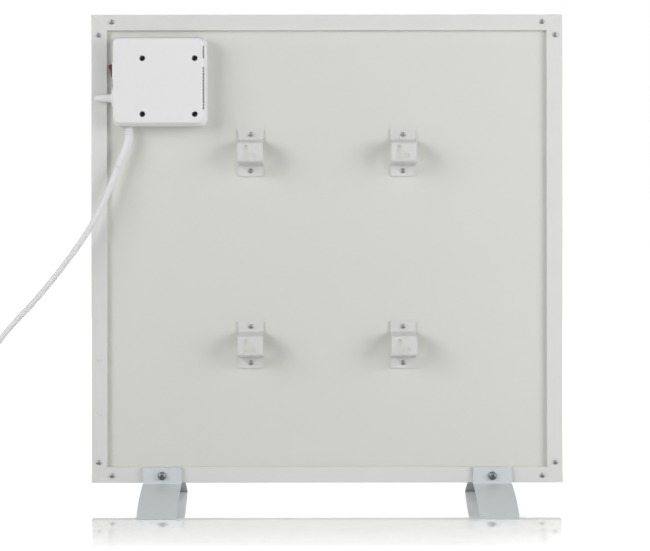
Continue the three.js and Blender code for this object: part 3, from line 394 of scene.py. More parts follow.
def combined(body, tool, operation="DIFFERENCE"):
    """The body with a tool cut from it or joined to it"""
    pair = [added("form", mesh_of(form)) for form in (body, tool)]
    step = pair[0].modifiers.new("step", "BOOLEAN")
    step.object, step.operation, step.solver, step.use_self = pair[1], operation, "EXACT", True
    bpy.context.view_layer.update()
    result = bmesh.new()
    result.from_object(pair[0], bpy.context.evaluated_depsgraph_get())
    # an object goes with its mesh
    for held in pair:
        bpy.data.meshes.remove(held.data)
    bmesh.ops.remove_doubles(result, verts=result.verts, dist=SAME)
    return result


def made_piece(form, name, kind, node, body="heater", smooth=30):
    """Turns a form into a piece of the heater that stands for a CAD node and rides on a body"""
    mesh = mesh_of(form, name)
    mesh.materials.append(finish(kind))
    mesh.shade_smooth()
    mesh.set_sharp_from_angle(angle=math.radians(smooth))
    piece = added(name, mesh)
    # flat faces stay flat in their shading, and only the rounded edges between them are soft
    piece.modifiers.new("flat_faces", "WEIGHTED_NORMAL").keep_sharp = True
    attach(piece, body)
    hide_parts(node)
    return piece


def screw_form(head, rise, shank, reach, cross, slot, sunk):
    """A pan-head screw along Z, with its head's seat at the origin

    head and rise are the head's diameter and height, shank and reach the shank's. The cross recess measures
    cross over its arms and slot across one, and is sunk deep. All are in millimetres."""
    profile = [(0, rise)]
    # the head's dome, in steps of 15 degrees
    for step in range(1, 7):
        angle = math.radians(15 * step)
        profile.append((head / 2 * math.sin(angle) ** 0.8, rise * (0.3 + 0.7 * math.cos(angle))))
    profile += [(head / 2, 0), (shank / 2, 0), (shank / 2, -reach), (0, -reach)]
    bars = []
    for across, along in ((cross, slot), (slot, cross)):
        bar = block(
            (-across / 2 * MM, -along / 2 * MM, (rise - sunk) * MM),
            (across / 2 * MM, along / 2 * MM, 2 * rise * MM))
        # the recess narrows towards its bottom
        for vert in bar.verts:
            if vert.co.z < rise * MM:
                vert.co.xy *= 0.85
        bars.append(bar)
    return combined(turned(profile), joined(*bars))


def bent_strip(line, bends, width, thickness):
    """A strip of sheet along Y and Z, centred in X: one face follows the line, the other is to its left

    bends holds the line's bent points by number, each with the radius that the face on the line gets."""
    form = bmesh.new()
    verts = [form.verts.new((-width / 2, y, z)) for y, z in line]
    edges = [form.edges.new(pair) for pair in zip(verts, verts[1:])]
    bmesh.ops.translate(
        form, vec=(width, 0, 0), verts=moved_part(bmesh.ops.extrude_edge_only(form, edges=edges)))
    for point, radius in bends.items():
        y, z = line[point]
        before = (Vector(line[point]) - Vector(line[point - 1])).normalized()
        after = (Vector(line[point + 1]) - Vector(line[point])).normalized()
        fold = [
            edge for edge in form.edges
            if lies(edge, "y", y - SAME, y + SAME) and lies(edge, "z", z - SAME, z + SAME)
        ]
        bevelled(form, fold, radius * math.tan(before.angle(after) / 2), 8, clamp=False)
    outward(form)
    bmesh.ops.solidify(form, geom=form.faces[:], thickness=thickness)
    return form


# ---- Pieces ----


# How much the edges of sheet are rounded where it was cut
CUT_EDGE = 0.35 * MM


class HEATER_OT_rails(Operator):
    """Makes the four mitred rails of the frame and the two plugs in the left one"""
    bl_idname = "heater.rails"
    bl_label = "Frame rails"

    def execute(self, context):
        left, back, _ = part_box("rail_left")[0]
        right, front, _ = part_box("rail_right")[1]
        bottom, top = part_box("rail_bottom")[0][2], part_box("rail_top")[1][2]
        middle = (bottom + top) / 2
        sides = (
            ("top", right - left, (0, 0, -1), (1, 0, 0), (0, back, top)),
            ("bottom", right - left, (0, 0, 1), (-1, 0, 0), (0, back, bottom)),
            ("left", top - bottom, (1, 0, 0), (0, 0, 1), (left, back, middle)),
            ("right", top - bottom, (-1, 0, 0), (0, 0, -1), (right, back, middle)),
        )
        for name, reach, inward, along, at in sides:
            form = self.rail(context.scene.heater_sizes, reach, front - back)
            turn = Matrix((inward, (0, 1, 0), along)).transposed().to_4x4()
            bmesh.ops.transform(form, matrix=Matrix.Translation(at) @ turn, verts=form.verts)
            outward(form)
            made_piece(form, f"{name}_rail", "white_powder_coat", f"rail_{name}")
        rise = 0.7
        profile = [(0, rise), (1.9, 0.66), (2.3, 0.5), (2.8, 0.3), (2.8, 0), (1.9, 0), (1.9, -4), (0, -4)]
        for number in (1, 2):
            node = f"rail_plug_{number}"
            plug = placed(turned(profile), seat(node, rise))
            made_piece(plug, f"hole_plug_{number}", "pale_nylon", node)
        return {"FINISHED"}

    def rail(self, sizes, reach, depth):
        """A C-shaped rail along Z with mitred ends. X leads into the frame and Y to its front"""
        wall, flange, lip, front = sizes.rail_wall, sizes.flange, sizes.lip, sizes.front_lip
        outline = (
            (0, 0), (flange, 0), (flange, lip), (flange - wall, lip), (flange - wall, wall), (wall, wall),
            (wall, depth - wall), (front, depth - wall), (front, depth), (0, depth),
        )
        form = bmesh.new()
        face = form.faces.new([form.verts.new((x, y, -reach / 2)) for x, y in outline])
        bmesh.ops.translate(
            form, vec=(0, 0, reach), verts=moved_part(bmesh.ops.extrude_face_region(form, geom=[face])))
        rounded(form, sizes.rail_radius, 5, lambda e: runs_along(e, UP) and lies(e, "x", high=NEAR))
        rounded(form, CUT_EDGE, 2, lambda e: runs_along(e, UP) and lies(e, "x", low=wall + NEAR))
        for end in (1, -1):
            cut(form, (0, 0, end * (reach / 2 - sizes.mitre_gap)), (1, 0, end))
        return form


class HEATER_OT_panel_layers(Operator):
    """Finishes the back sheet, the radiant panel and the hidden layers, keys and box parts"""
    bl_idname = "heater.panel_layers"
    bl_label = "Panel layers and inner parts"

    def execute(self, context):
        dress("coated_steel_sheet", "back_sheet")
        dress("textured_radiant_coat", "radiant_panel")
        dress("mill_aluminium", "mounting_plate", *[f"corner_key_{corner}" for corner in CORNERS])
        dress("mineral_board", "insulation_board")
        dress("carbon_film", "heating_film")
        dress("glazed_ceramic", "terminal_block")
        dress("dark_polyamide", "thermal_cutout")
        return {"FINISHED"}


class HEATER_OT_screws(Operator):
    """Makes the corner, hanger and cover screws with their cross recesses"""
    bl_idname = "heater.screws"
    bl_label = "Screws"

    def execute(self, context):
        # the nodes' first and last names, the finish, the slot, and the sizes that screw_form takes
        kinds = (
            ("corner_screw", [f"{c}_{n}" for c in CORNERS for n in (1, 2)], "zinc_plate", "zinc",
             (6.2, 2, 3.5, 4.7, 3.8, 1.1, 1.8)),
            ("hanger_screw", [f"{c}_{n}" for c in CORNERS for n in ("top", "bottom")], "zinc_plate", "zinc",
             (6, 2, 3.8, 4.2, 3.8, 1.1, 1.8)),
            ("cover_screw", CORNERS, "black_oxide", "dark_steel", (6, 2.2, 3.2, 11, 3.6, 1, 1.6)),
        )
        for kind, places, metal, slot, figures in kinds:
            form = screw_form(*figures)
            for number, place in enumerate(places):
                node = f"{kind}_{place}"
                copy = form.copy()
                # each screw stops at its own angle
                bmesh.ops.rotate(copy, matrix=Matrix.Rotation(0.7 * number + 0.3, 3, "Z"), verts=copy.verts)
                screw = placed(copy, seat(node, figures[1]))
                made_piece(screw, f"{kind}_head_{place}", metal, node)
            form.free()
        return {"FINISHED"}


# The keyhole's entry, to the left of the hanger's middle and below it
KEYHOLE_AT = (-5.5 * MM, -4.6 * MM)


class HEATER_OT_hangers(Operator):
    """Makes the four hat-shaped wall hangers with their L-shaped keyholes"""
    bl_idname = "heater.hangers"
    bl_label = "Wall hangers"

    def execute(self, context):
        sizes = context.scene.heater_sizes
        for corner in CORNERS:
            node = f"hanger_{corner}"
            width, rise, height = (high - low for low, high in zip(*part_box(node)))
            form = combined(self.strap(sizes, width, height, rise), self.keyhole(sizes, rise))
            rounded(form, 0.3 * MM, 2, angle=60)
            made_piece(placed(form, seat(node), UP), f"wall_{node}", "painted_strap", node)
        return {"FINISHED"}

    def strap(self, sizes, width, height, rise):
        """The strap on the plane Y = 0, rising towards -Y"""
        sheet = sizes.strap
        foot = (sizes.strap_foot_span - sheet) / 2
        slope = (foot - (sizes.strap_face_span - sheet) / 2) / (rise - sheet)
        side = sheet / 2 * math.sqrt(1 + slope ** 2)
        low = foot + sheet / 2 * slope - side
        high = foot - (rise - 1.5 * sheet) * slope - side
        line = [
            (0, height / 2), (0, low), (sheet - rise, high),
            (sheet - rise, -high), (0, -low), (0, -height / 2),
        ]
        outside, inside = sizes.strap_bend + sheet / 2, sizes.strap_bend - sheet / 2
        return bent_strip(line, {1: outside, 2: inside, 3: inside, 4: outside}, width, sheet)

    def keyhole(self, sizes, rise):
        """The cutter of an L-shaped keyhole in the strap's face"""
        x, z = KEYHOLE_AT
        half, arm = sizes.keyhole_slot / 2, sizes.keyhole_arm
        near, far = -rise - 1 * MM, -rise / 2
        ends = ((sizes.keyhole_entry / 2, x, z), (half, x + arm, z), (half, x, z + arm))
        rods = [
            placed(rod(radius, far - near, 32), (at_x, (near + far) / 2, at_z))
            for radius, at_x, at_z in ends
        ]
        level = block((x, near, z - half), (x + arm, far, z + half))
        upright = block((x - half, near, z), (x + half, far, z + arm))
        return joined(*rods, level, upright)


# Half the depth and height of the switch's body, of its bezel and of the well that the rocker sits in
SWITCH_BODY, SWITCH_BEZEL, SWITCH_WELL = (6.3 * MM, 10 * MM), (7.5 * MM, 11.25 * MM), (5.5 * MM, 9 * MM)


def switch_block(near, far, half, fit=0):
    """A box round the switch's axle from near to far of the control box's side, with room for a fit"""
    centre = middle_of("switch_body")
    deep, tall = half[0] + fit, half[1] + fit
    return block(
        (BOX_SIDE + near, centre.y - deep, centre.z - tall),
        (BOX_SIDE + far, centre.y + deep, centre.z + tall))


# How far from the back sheet the vents' openings begin and end, and the short ones' cut ends
VENT_DEPTHS = (27.6, 24.4, 20)
# The long vent's distance from the box's top and its height, then the first short one's, and their spacing
LONG_VENT, SHORT_VENT, VENT_PITCH = (12, 15.6), (38.9, 2.3), 3.9


class HEATER_OT_control_box(Operator):
    """Makes the control box's base and its cover with wells and vents"""
    bl_idname = "heater.control_box"
    bl_label = "Control box"

    def execute(self, context):
        sizes = context.scene.heater_sizes
        low, high = map(Vector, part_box("box_base"))
        base = self.tray(low, high, sizes.box_radius)
        wall = sizes.box_wall
        base = combined(base, self.tray(
            low + Vector((wall, -wall, wall)), high - Vector((wall, wall, wall)), sizes.box_radius - wall))
        base = combined(base, switch_block(-wall, 2 * wall, SWITCH_BODY, fit=0.3 * MM))
        rounded(base, 0.3 * MM, 2, lambda e: lies(e, "x", high=low.x + NEAR), 60)
        made_piece(base, "control_box_base", "moulded_abs", "box_base")
        self.cover(sizes)
        return {"FINISHED"}

    def tray(self, low, high, radius):
        """A box whose edges from its back to its front are rounded"""
        return rounded(block(low, high), radius, 10, lambda e: runs_along(e, BEHIND))

    def shell(self, sizes, low, high, wall, face_y):
        """The cover's outside, or its inside where a wall is given"""
        inset = Vector((wall, 0, wall))
        form = self.tray(low + inset, high - inset, sizes.box_radius - wall)
        # a short rim, and the slopes up to the face
        for vert in form.verts:
            vert.co.y = high.y if vert.co.y > (low.y + high.y) / 2 else high.y - 1 * MM
        rim = max(form.faces, key=lambda f: -f.normal.y * f.calc_area())
        made = bmesh.ops.extrude_face_region(form, geom=[rim])
        bmesh.ops.delete(form, geom=[rim], context="FACES_ONLY")
        middle = (low + high) / 2
        # the rounding of the face's edges takes a share of its width
        more = 2 * sizes.box_edge * 0.4 - 2 * wall
        wide = (sizes.cover_face_width + more) / (high.x - low.x - 2 * wall)
        tall = (sizes.cover_face_height + more) / (high.z - low.z - 2 * wall)
        for vert in moved_part(made):
            vert.co.x = middle.x - sizes.cover_face_shift + (vert.co.x - middle.x) * wide
            vert.co.z = middle.z + sizes.cover_face_lift + (vert.co.z - middle.z) * tall
            vert.co.y = face_y
        return rounded(form, sizes.box_edge, 4, lambda e: lies(e, "y", high=face_y + NEAR), 15)

    def cover(self, sizes):
        """Makes the cover: a shell with a tube round each screw's well, and the vents"""
        low, high = map(Vector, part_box("box_cover"))
        rim = Vector((high.x, BOX_BACK - GAP, high.z))
        wall = sizes.box_wall
        form = self.shell(sizes, low, rim, 0, low.y)
        form = combined(form, self.shell(sizes, low, rim + Vector((0, 1 * MM, 0)), wall, low.y + wall))
        wells, tubes = [], []
        radius = sizes.well / 2 / MM
        for corner in CORNERS:
            # the well's floor, just under the screw's head, and how deep it lies below the face
            at = seat(f"cover_screw_{corner}", 2.3)
            deep = (at[1] - low.y) / MM
            tube = turned([(0, -2), (radius + 1.7, -2), (radius + 1.7, deep - 1.2), (0, deep - 1.2)])
            well = turned([
                (0, 0), (radius, 0), (radius, deep - 0.5), (radius + 0.15, deep - 0.15), (radius + 0.5, deep),
                (radius + 0.5, deep + 2), (0, deep + 2),
            ])
            tubes.append(placed(tube, at))
            wells.append(placed(well, at))
        form = combined(form, joined(*tubes), "UNION")
        form = combined(combined(form, joined(*wells)), self.vents(sizes, low, high))
        made_piece(form, "control_box_cover", "moulded_abs", "box_cover", smooth=25)

    def vents(self, sizes, low, high):
        """The cutters of one long and a column of short slots in the cover's right slope"""
        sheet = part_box("back_sheet")[0][1] - GAP
        near, far, inside = (sheet - depth * MM for depth in VENT_DEPTHS)
        edge = (low.x + high.x) / 2 - sizes.cover_face_shift + sizes.cover_face_width / 2
        slope = (high.x - edge) / (BOX_BACK - low.y)
        left, right = high.x - 9 * MM, edge + slope * (far - low.y)
        # the long one is a blind groove
        rows = [(*LONG_VENT, far)]
        rows += [(SHORT_VENT[0] + VENT_PITCH * row, SHORT_VENT[1], inside) for row in range(sizes.vent_count)]
        slots = []
        for down, tall, depth in rows:
            bottom = high.z - (down + tall) * MM
            slots.append(block((left, near, bottom), (right, depth, bottom + tall * MM)))
        return joined(*slots)


# The rocker's lean at rest, its disc's radius and thickness, its face's distance from the axle, and the
# axle's from the box's side
ROCKER_TILT, ROCKER_RADIUS, ROCKER_DEPTH = math.radians(-16), 8.6 * MM, 10.3 * MM
ROCKER_FACE, AXLE_OUT = 4.3 * MM, 0.7 * MM


class HEATER_OT_switch(Operator):
    """Makes the switch's bezel and its rocker"""
    bl_idname = "heater.switch"
    bl_label = "Rocker switch"

    def execute(self, context):
        bezel = switch_block(-1.6 * MM, -GAP, SWITCH_BEZEL)
        rounded(bezel, 1.2 * MM, 5, lambda e: runs_along(e, ACROSS))
        rounded(bezel, 0.5 * MM, 3, lambda e: lies(e, "x", high=BOX_SIDE - 1.5 * MM))
        form = combined(bezel, switch_block(-1 * MM, 15 * MM, SWITCH_BODY), "UNION")
        form = combined(form, switch_block(-3 * MM, 6.5 * MM, SWITCH_WELL))
        made_piece(form, "switch_bezel", "moulded_abs", "switch_body")
        # the disc's axis becomes the switch's axle
        lever = rod(ROCKER_RADIUS, ROCKER_DEPTH, 64)
        bmesh.ops.rotate(lever, matrix=Matrix.Rotation(math.pi / 2, 3, "X"), verts=lever.verts)
        for way in (1, -1):
            cut(lever, (way * ROCKER_FACE, 0, 0), (way, 0, 0))
        cut(lever, (0, 0, 0), UP, clear=False)
        outward(lever)
        rounded(lever, 0.5 * MM, 3, lambda e: lies(e, "x", high=0.1 * MM - ROCKER_FACE), 40)
        # the line across the face's middle goes in, which makes the V
        for vert in lever.verts:
            if abs(vert.co.z) < 0.1 * MM and vert.co.x < -3 * MM:
                vert.co.x += context.scene.heater_sizes.rocker_groove
        axle = middle_of("switch_body")
        axle.x = BOX_SIDE - AXLE_OUT
        tilt = Matrix.Rotation(ROCKER_TILT, 4, "Y")
        bmesh.ops.transform(lever, matrix=Matrix.Translation(axle) @ tilt, verts=lever.verts)
        made_piece(
            lever, "red_rocker", "red_polycarbonate", "switch_rocker", "rocker", smooth=20)
        return {"FINISHED"}


class HEATER_OT_sensor(Operator):
    """Makes the room sensor's plate and sleeve"""
    bl_idname = "heater.sensor"
    bl_label = "Room sensor"

    def execute(self, context):
        low, high = map(Vector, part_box("sensor_plate"))
        plate = block(low, (BOX_SIDE - GAP, high.y, high.z))
        rounded(plate, 7 * MM, 8, lambda e: runs_along(e, ACROSS))
        rounded(plate, 0.7 * MM, 3, lambda e: lies(e, "x", high=low.x + NEAR))
        made_piece(plate, "sensor_mount", "moulded_abs", "sensor_plate")
        middle = middle_of("sensor_sleeve")
        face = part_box("sensor_plate")[0][0]
        reach = (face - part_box("sensor_sleeve")[0][0]) / MM
        sleeve = turned([
            (0, reach), (1.3, reach - 0.05), (2.4, reach - 0.4), (3.1, reach - 1), (3.5, reach - 1.8),
            (3.7, reach - 2.8), (5.6, 1.4), (6, 0.6), (6.1, 0.1), (5.9, 0), (2.2, 0), (2.2, -2.5), (0, -2.5),
        ], 48)
        placed(sleeve, (face, middle.y, middle.z), -ACROSS)
        made_piece(sleeve, "sensor_cap", "moulded_abs", "sensor_sleeve")
        return {"FINISHED"}


class HEATER_OT_feet(Operator):
    """Makes the two feet: a rear and a front leaf of bent sheet, and the bolt that clamps them"""
    bl_idname = "heater.feet"
    bl_label = "Feet"

    def execute(self, context):
        for side in ("left", "right"):
            self.leaf(context.scene.heater_sizes, side, "front", 1)
            self.leaf(context.scene.heater_sizes, side, "rear", -1)
            self.bolt(side)
        return {"FINISHED"}

    def leaf(self, sizes, side, name, way):
        """Makes a leaf from its tab on the lower rail along an arc down to the floor"""
        node = f"foot_{name}_leaf_{side}"
        low, high = map(Vector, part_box(node))
        sheet = sizes.leaf
        # the arc of its upper face runs level under the frame and meets the floor where the node's does
        reach = max(abs(low.y), abs(high.y))
        rail_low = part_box("rail_bottom")[0]
        crown = rail_low[2] - 0.3 * MM
        radius = (reach ** 2 + crown ** 2) / (2 * crown)
        height = lambda y: math.sqrt(radius ** 2 - y ** 2) + crown - radius
        # the front leaf's tab lies on the rail's back and the rear leaf's on that tab
        tab = rail_low[1] - GAP
        if way > 0:
            start, bend, first = 0, sizes.rail_radius / 2, 6 * MM
        else:
            tab -= 2 * sheet + GAP
            start, bend, first = tab, sizes.leaf_bend - sheet / 2, abs(tab) + 12 * MM
        points = [(tab, high.z), (tab, height(start)), (tab + way * 2 * sizes.leaf_bend, height(start))]
        steps = 24
        for step in range(steps + 1):
            y = first + (reach + sheet - first) * step / steps
            points.append((way * y, height(y)))
        form = bent_strip(points, {1: bend}, high.x - low.x, sheet)
        cut(form, (0, 0, 0), -UP)
        outward(form)
        rounded(form, 1 * MM, 4, lambda e: runs_along(e, BEHIND) and lies(e, "z", low=high.z - NEAR))
        rounded(form, CUT_EDGE, 2, angle=50)
        placed(form, ((low.x + high.x) / 2, 0, 0), UP)
        made_piece(form, f"{name}_foot_leaf_{side}", "silver_grey_coat", node)

    def bolt(self, side):
        """Makes the bolt that clamps both tabs to the rail. Each stops at its own angle"""
        node = f"foot_bolt_{side}"
        low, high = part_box(node)
        rise = 4.8
        form = screw_form(10.6, rise, 5, (high[1] - low[1]) / MM - rise, 6.6, 1.7, 3)
        turn = 0.6 if side == "left" else 1.0
        bmesh.ops.rotate(form, matrix=Matrix.Rotation(turn, 3, "Z"), verts=form.verts)
        placed(form, seat(node, rise))
        made_piece(form, f"foot_clamp_bolt_{side}", "dull_zinc", node)


# The length of the gland's bush, and the strain relief's middle line from the middle of the bush's lower end
BUSH = 11.4 * MM
RELIEF_LINE = [Vector(point) * MM for point in (
    (0, 0, 0.5), (0, 0, -1), (-1.2, -0.2, -8.3), (-3.9, -0.6, -16.4), (-7.7, -1.2, -25.3), (-11.9, -2, -34.8),
    (-14.2, -2.5, -40.3),
)]
# The route of the cord's free stretch, after it has left the strain relief
CORD_ROUTE = [Vector(point) * MM for point in (
    (-272.2, -23.6, 414), (-277.1, -25, 400.4), (-283, -26.5, 385.6), (-292.1, -28, 368.7),
    (-302.5, -30, 350.5), (-328.9, -38, 311.7), (-366, -46, 265), (-405, -54, 221), (-427, -59, 186),
    (-438, -61, 143), (-440, -62, 95), (-440, -62, 45), (-440, -56.6, 24), (-440, -42, 9.6),
)]
# The coil's middle and outer width at the cord's middle, the gaps between its turns and below them, and the
# stretch from its last turn to the plug
COIL_MIDDLE = (-0.4887, 0.045)
COIL_WIDTH, COIL_GAP, CORD_LIFT, TAIL = 97.4 * MM, 0.7 * MM, 0.2 * MM, 58 * MM


def eased(share):
    """A share that starts and ends gently"""
    return share * share * (3 - 2 * share)


class HEATER_OT_cord(Operator):
    """Makes the gland, the mains cord with its coil, and the plug"""
    bl_idname = "heater.cord"
    bl_label = "Gland, cord and plug"

    def execute(self, context):
        sizes = context.scene.heater_sizes
        self.gland(sizes)
        plug = self.plug()
        dress("nickel_plate", "plug_pin_left", "plug_pin_right")
        points, start = self.route(sizes)
        line = self.drawn("mains_cord", points, sizes.cord_diameter / 2)
        line.materials.append(finish("soft_pvc"))
        cord = added("mains_cord", line)
        # the curve's caps aren't joined to its skin, so they are welded on
        cord.modifiers.new("closed_ends", "WELD").merge_threshold = NEAR
        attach(cord, "heater")
        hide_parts("cord_lead", "cord_coil")
        return {"FINISHED"}

    def route(self, sizes):
        """The cord's points: down from the gland, to the floor, round the coil and up to the plug"""
        thick = sizes.cord_diameter
        pitch = thick + COIL_GAP
        turns = 2 * sizes.coil_turns

        def coil_point(turn):
            """Inwards in the lower layer, a climb over half a turn, and outwards in the upper one"""
            inward = turn - sizes.coil_turns
            radius = COIL_WIDTH / 2 - pitch * (sizes.coil_turns - abs(inward))
            climb = eased(min(max((inward + 0.25) / 0.5, 0), 1))
            around = 2 * math.pi * turn
            return Vector((
                COIL_MIDDLE[0] + radius * math.cos(around), COIL_MIDDLE[1] + radius * math.sin(around),
                thick / 2 + CORD_LIFT + pitch * climb))

        relief = [self.bush_end(sizes) + point for point in RELIEF_LINE]
        heading = (relief[-1] - relief[-2]).normalized()
        start = relief[-1] + 0.3 * MM * heading
        points = [start, start + thick * heading, *CORD_ROUTE]
        # the last stretch to the coil runs straight
        points += [coil_point(0) - Vector((0, back * MM, 0)) for back in (32.5, 17.7, 10.3, 3.7)]
        count = round(turns * 24)
        points += [coil_point(turns * i / count) for i in range(count + 1)]
        end, plug = points[-1], middle_of("plug_body")
        # down from the upper layer to the plug's height, and straight into the plug
        for share in (0.25, 0.5, 0.75):
            back = (TAIL - 1.5 * thick) * share
            points.append(Vector((end.x, end.y - back, end.z + (plug.z - end.z) * eased(share))))
        points += [Vector((end.x, end.y - TAIL + back * thick, plug.z)) for back in (1.5, 0.75, 0)]
        return points, start

    def drawn(self, name, points, radius, shares=None):
        """A round curve through points, with its radius scaled by a share at each of them"""
        line = bpy.data.curves.new(name, "CURVE")
        line.dimensions = "3D"
        line.bevel_depth = radius
        line.bevel_resolution = 6
        line.use_fill_caps = True
        line.resolution_u = 6
        spline = line.splines.new("BEZIER")
        spline.bezier_points.add(len(points) - 1)
        for knot, point, share in zip(spline.bezier_points, points, shares or [1] * len(points)):
            knot.co = point
            knot.radius = share
            knot.handle_left_type = knot.handle_right_type = "AUTO"
        return line

    def bush_end(self, sizes):
        """The middle of the bush's lower end. The strain relief leads off to its left and back"""
        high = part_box("cord_gland")[1]
        radius = sizes.bush_diameter / 2
        return Vector((high[0] - radius, high[1] - radius, BOX_BOTTOM - GAP - BUSH))

    def gland(self, sizes):
        """The ribbed bush and the strain relief that tapers and bends away from it with the cord"""
        end = self.bush_end(sizes)
        profile = [(0, -3.5), (4, -3.5), (4, 0), (5.1, 0)]
        for rib in range(4):
            start = rib * 2.85
            profile += [
                (5.3, start + 0.2), (5.3, start + 1.4), (5.1, start + 1.6), (4, start + 1.7),
                (3.9, start + 1.8), (3.9, start + 2.6), (4, start + 2.7), (5.1, start + 2.85)]
        profile[-2:] = [(3.9, BUSH / MM), (0, BUSH / MM)]
        bush = placed(turned(profile, 48), end + BUSH * UP, -UP)
        taper = 1 - sizes.relief_end / sizes.relief_start
        line = self.drawn(
            "relief", RELIEF_LINE, sizes.relief_start / 2,
            [1 - taper * z / RELIEF_LINE[-1][2] for _, _, z in RELIEF_LINE])
        held = added("relief", line)
        bpy.context.view_layer.update()
        mesh = bpy.data.meshes.new_from_object(held.evaluated_get(bpy.context.evaluated_depsgraph_get()))
        relief = bmesh.new()
        relief.from_mesh(mesh)
        bmesh.ops.remove_doubles(relief, verts=relief.verts, dist=SAME)
        outward(relief)
        rounded(relief, 0.4 * MM, 3, angle=60)
        placed(relief, end, UP)
        bpy.data.curves.remove(line)
        bpy.data.meshes.remove(mesh)
        made_piece(combined(bush, relief, "UNION"), "cord_bush", "soft_pvc", "cord_gland")

    def plug(self):
        """The moulded plug: a ribbed neck, a waist for the fingers and a round face"""
        low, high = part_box("plug_body")
        reach = (high[1] - low[1]) / MM
        profile = [(0, 0), (4.9, 0), (5.2, 0.4)]
        for rib in range(5):
            start, wide = 2 + 4 * rib, 5.4 + 0.2 * rib
            profile += [
                (wide, start), (wide, start + 2.4), (wide - 0.8, start + 2.8), (wide - 0.8, start + 3.8)]
        profile += [
            (6.2, 24), (9.5, 26.5), (12.4, 28.8), (13.4, 31.5), (13.6, 36), (14, 42), (15, 47.5), (17, 52.5),
            (18.2, 55.5), (18.4, 58), (18.4, reach - 1.4), (18, reach - 0.4), (17.2, reach), (0, reach)]
        form = placed(turned(profile, 56), seat("plug_body"))
        return made_piece(form, "plug_moulding", "soft_pvc", "plug_body")


# ---- Stage ----


WHITE = (1.0, 1.0, 1.0, 1.0)
HEATER_MIDDLE = Vector((0, 0, 0.33))
# Where the rear leaves end, how far the polished floor's normal leans behind them, and the polish by distance
FEET_END, FLOOR_DIP = -0.0975, -0.063
POLISH = ((0.06, 0.7), (0.098, 0.68), (0.15, 0.64), (0.285, 0.27), (0.29, 0.0))


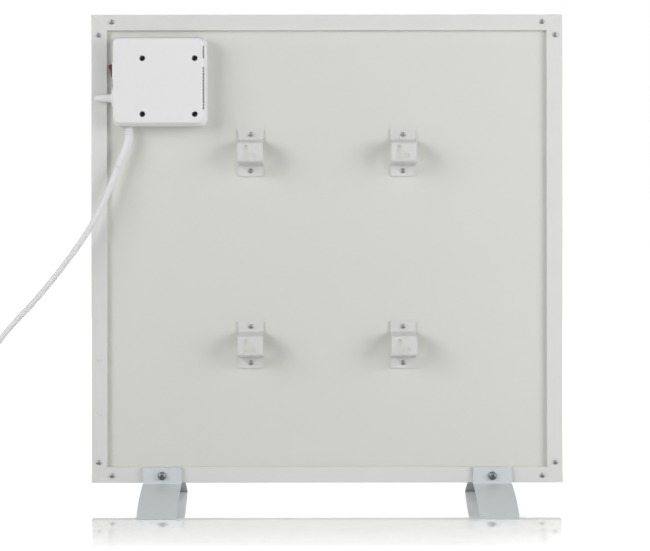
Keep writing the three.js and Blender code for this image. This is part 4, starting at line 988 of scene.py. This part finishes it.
class HEATER_OT_stage(Operator):
    """Sets the camera, the floor, the lamps and the white surroundings"""
    bl_idname = "heater.stage"
    bl_label = "Stage"

    def execute(self, context):
        scene = context.scene
        scene.view_settings.view_transform = "Standard"
        lens = bpy.data.cameras.new("camera")
        lens.lens, lens.sensor_width, lens.sensor_fit = 104.4, 36, "HORIZONTAL"
        lens.shift_x, lens.shift_y = 0.026, -0.116
        lens.clip_start, lens.clip_end = 0.05, 50
        camera = scene.camera = added("camera", lens)
        camera.location = (-0.024, -2.4125, 0.3898)
        camera.rotation_euler = (math.radians(90), math.radians(0.06), 0)
        self.floor()
        self.surroundings(scene)
        # every lamp's place, size and power
        for name, at, size, power in (
            ("key", (-2.9, -2.2, 1.6), 2.2, 79),
            ("fill", (2.2, -1.5, 0.9), 1.6, 41),
            ("front", (0.8, 2.9, 1.9), 2.0, 60),
            ("low", (0.2, -2.7, 0.12), 1.2, 3),
        ):
            glow = bpy.data.lights.new(name, "AREA")
            glow.size, glow.energy = size, power
            lamp = added(name, glow)
            lamp.location = at
            lamp.rotation_euler = (HEATER_MIDDLE - Vector(at)).to_track_quat("-Z", "Y").to_euler()
        return {"FINISHED"}

    def floor(self):
        """Lays the floor, whose polish mirrors the feet and hides from other rays than the camera's"""
        form = bmesh.new()
        bmesh.ops.create_grid(form, x_segments=1, y_segments=1, size=12)
        mesh = mesh_of(placed(form, (0, 0, -0.3 * MM), UP), "floor")
        add, place = empty_finish("polished_white_floor")
        mesh.materials.append(bpy.data.materials["polished_white_floor"])
        sheet = add("BsdfDiffuse", {"Color": linear("F6F6F6")})
        # the floor is pale near the heater, and glows a little far off, so that it ends as white as the room
        reach = add("VectorMath", {0: place}, operation="LENGTH").outputs["Value"]
        shine = add("MapRange", {
            "Value": reach, "From Min": 0.3, "From Max": 1.2, "To Min": 0.52, "To Max": 1.0})
        glow = add("Emission", {"Color": WHITE, "Strength": shine})
        lit = add("AddShader", {0: sheet, 1: glow})
        # the polish fades out past the feet, and behind their ends the floor dips a little towards the heater
        depth = add("SeparateXYZ", {"Vector": place}).outputs["Y"]
        away = add("Math", {0: depth}, operation="ABSOLUTE")
        polish = add("ValToRGB", {"Fac": away})
        ramp = polish.color_ramp.elements
        ramp[0].color, ramp[-1].color = (0.7, 0.7, 0.7, 1), (0, 0, 0, 1)
        for metres, share in POLISH:
            ramp.new(metres).color = (share, share, share, 1)
        behind = add("Math", {0: depth, 1: FEET_END}, operation="LESS_THAN")
        dip = add("Math", {0: behind, 1: FLOOR_DIP}, operation="MULTIPLY")
        tilt = add("CombineXYZ", {"Y": dip, "Z": 1.0})
        upright = add("VectorMath", {0: tilt}, operation="NORMALIZE")
        mirror = add("BsdfGlossy", {"Color": WHITE, "Roughness": 0.035, "Normal": upright})
        # it shows at a flat angle and hardly from above, as on any glossy floor
        flat = add("MapRange", {"Value": add("Fresnel", {"IOR": 1.5}), "From Min": 0.04, "From Max": 0.38})
        gleam = add("Math", {0: polish, 1: flat}, operation="MULTIPLY")
        seen = add("MixShader", {0: gleam, 1: lit, 2: mirror})
        path = add("LightPath").outputs["Is Camera Ray"]
        choice = add("MixShader", {0: path, 1: sheet, 2: seen})
        add("OutputMaterial", {"Surface": choice})
        added("floor", mesh)

    def surroundings(self, scene):
        """Sets a room that is white to the camera and in reflections, and dim as a light"""
        scene.world = bpy.data.worlds.new("white_room")
        scene.world.use_nodes = True
        scene.world.node_tree.nodes.clear()
        add = partial(add_node, scene.world.node_tree)
        path = add("LightPath").outputs
        seen = add("Math", {0: path["Is Camera Ray"], 1: path["Is Glossy Ray"]}, operation="MAXIMUM")
        soft, white = (
            add("Background", {"Color": WHITE, "Strength": strength}) for strength in (0.12, 1.0))
        choice = add("MixShader", {0: seen, 1: soft, 2: white})
        add("OutputWorld", {"Surface": choice})


class HEATER_PT_parts(Panel):
    """Lists the heater's pieces, sizes and colours"""
    bl_idname = "HEATER_PT_parts"
    bl_label = "Infrared panel heater"
    bl_space_type = "VIEW_3D"
    bl_region_type = "UI"
    bl_category = "Heater"

    def draw(self, context):
        for operator in OPERATORS:
            self.layout.operator(operator.bl_idname)
        for group in (context.scene.heater_sizes, context.scene.heater_colours):
            column = self.layout.column(align=True)
            for name in group.bl_rna.properties.keys():
                if name not in {"rna_type", "name"}:
                    column.prop(group, name)


OPERATORS = (
    HEATER_OT_stage,
    HEATER_OT_cord,
    HEATER_OT_rails,
    HEATER_OT_panel_layers,
    HEATER_OT_hangers,
    HEATER_OT_control_box,
    HEATER_OT_switch,
    HEATER_OT_sensor,
    HEATER_OT_feet,
    HEATER_OT_screws,
)
CLASSES = (HeaterSizes, HeaterColours, *OPERATORS, HEATER_PT_parts)


def register():
    for kind in CLASSES:
        bpy.utils.register_class(kind)
    bpy.types.Scene.heater_sizes = PointerProperty(type=HeaterSizes)
    bpy.types.Scene.heater_colours = PointerProperty(type=HeaterColours)


def unregister():
    del bpy.types.Scene.heater_colours
    del bpy.types.Scene.heater_sizes
    for kind in reversed(CLASSES):
        bpy.utils.unregister_class(kind)


def main():
    register()
    for operator in OPERATORS:
        group, name = operator.bl_idname.split(".")
        getattr(getattr(bpy.ops, group), name)()


if __name__ == "__main__":
    main()
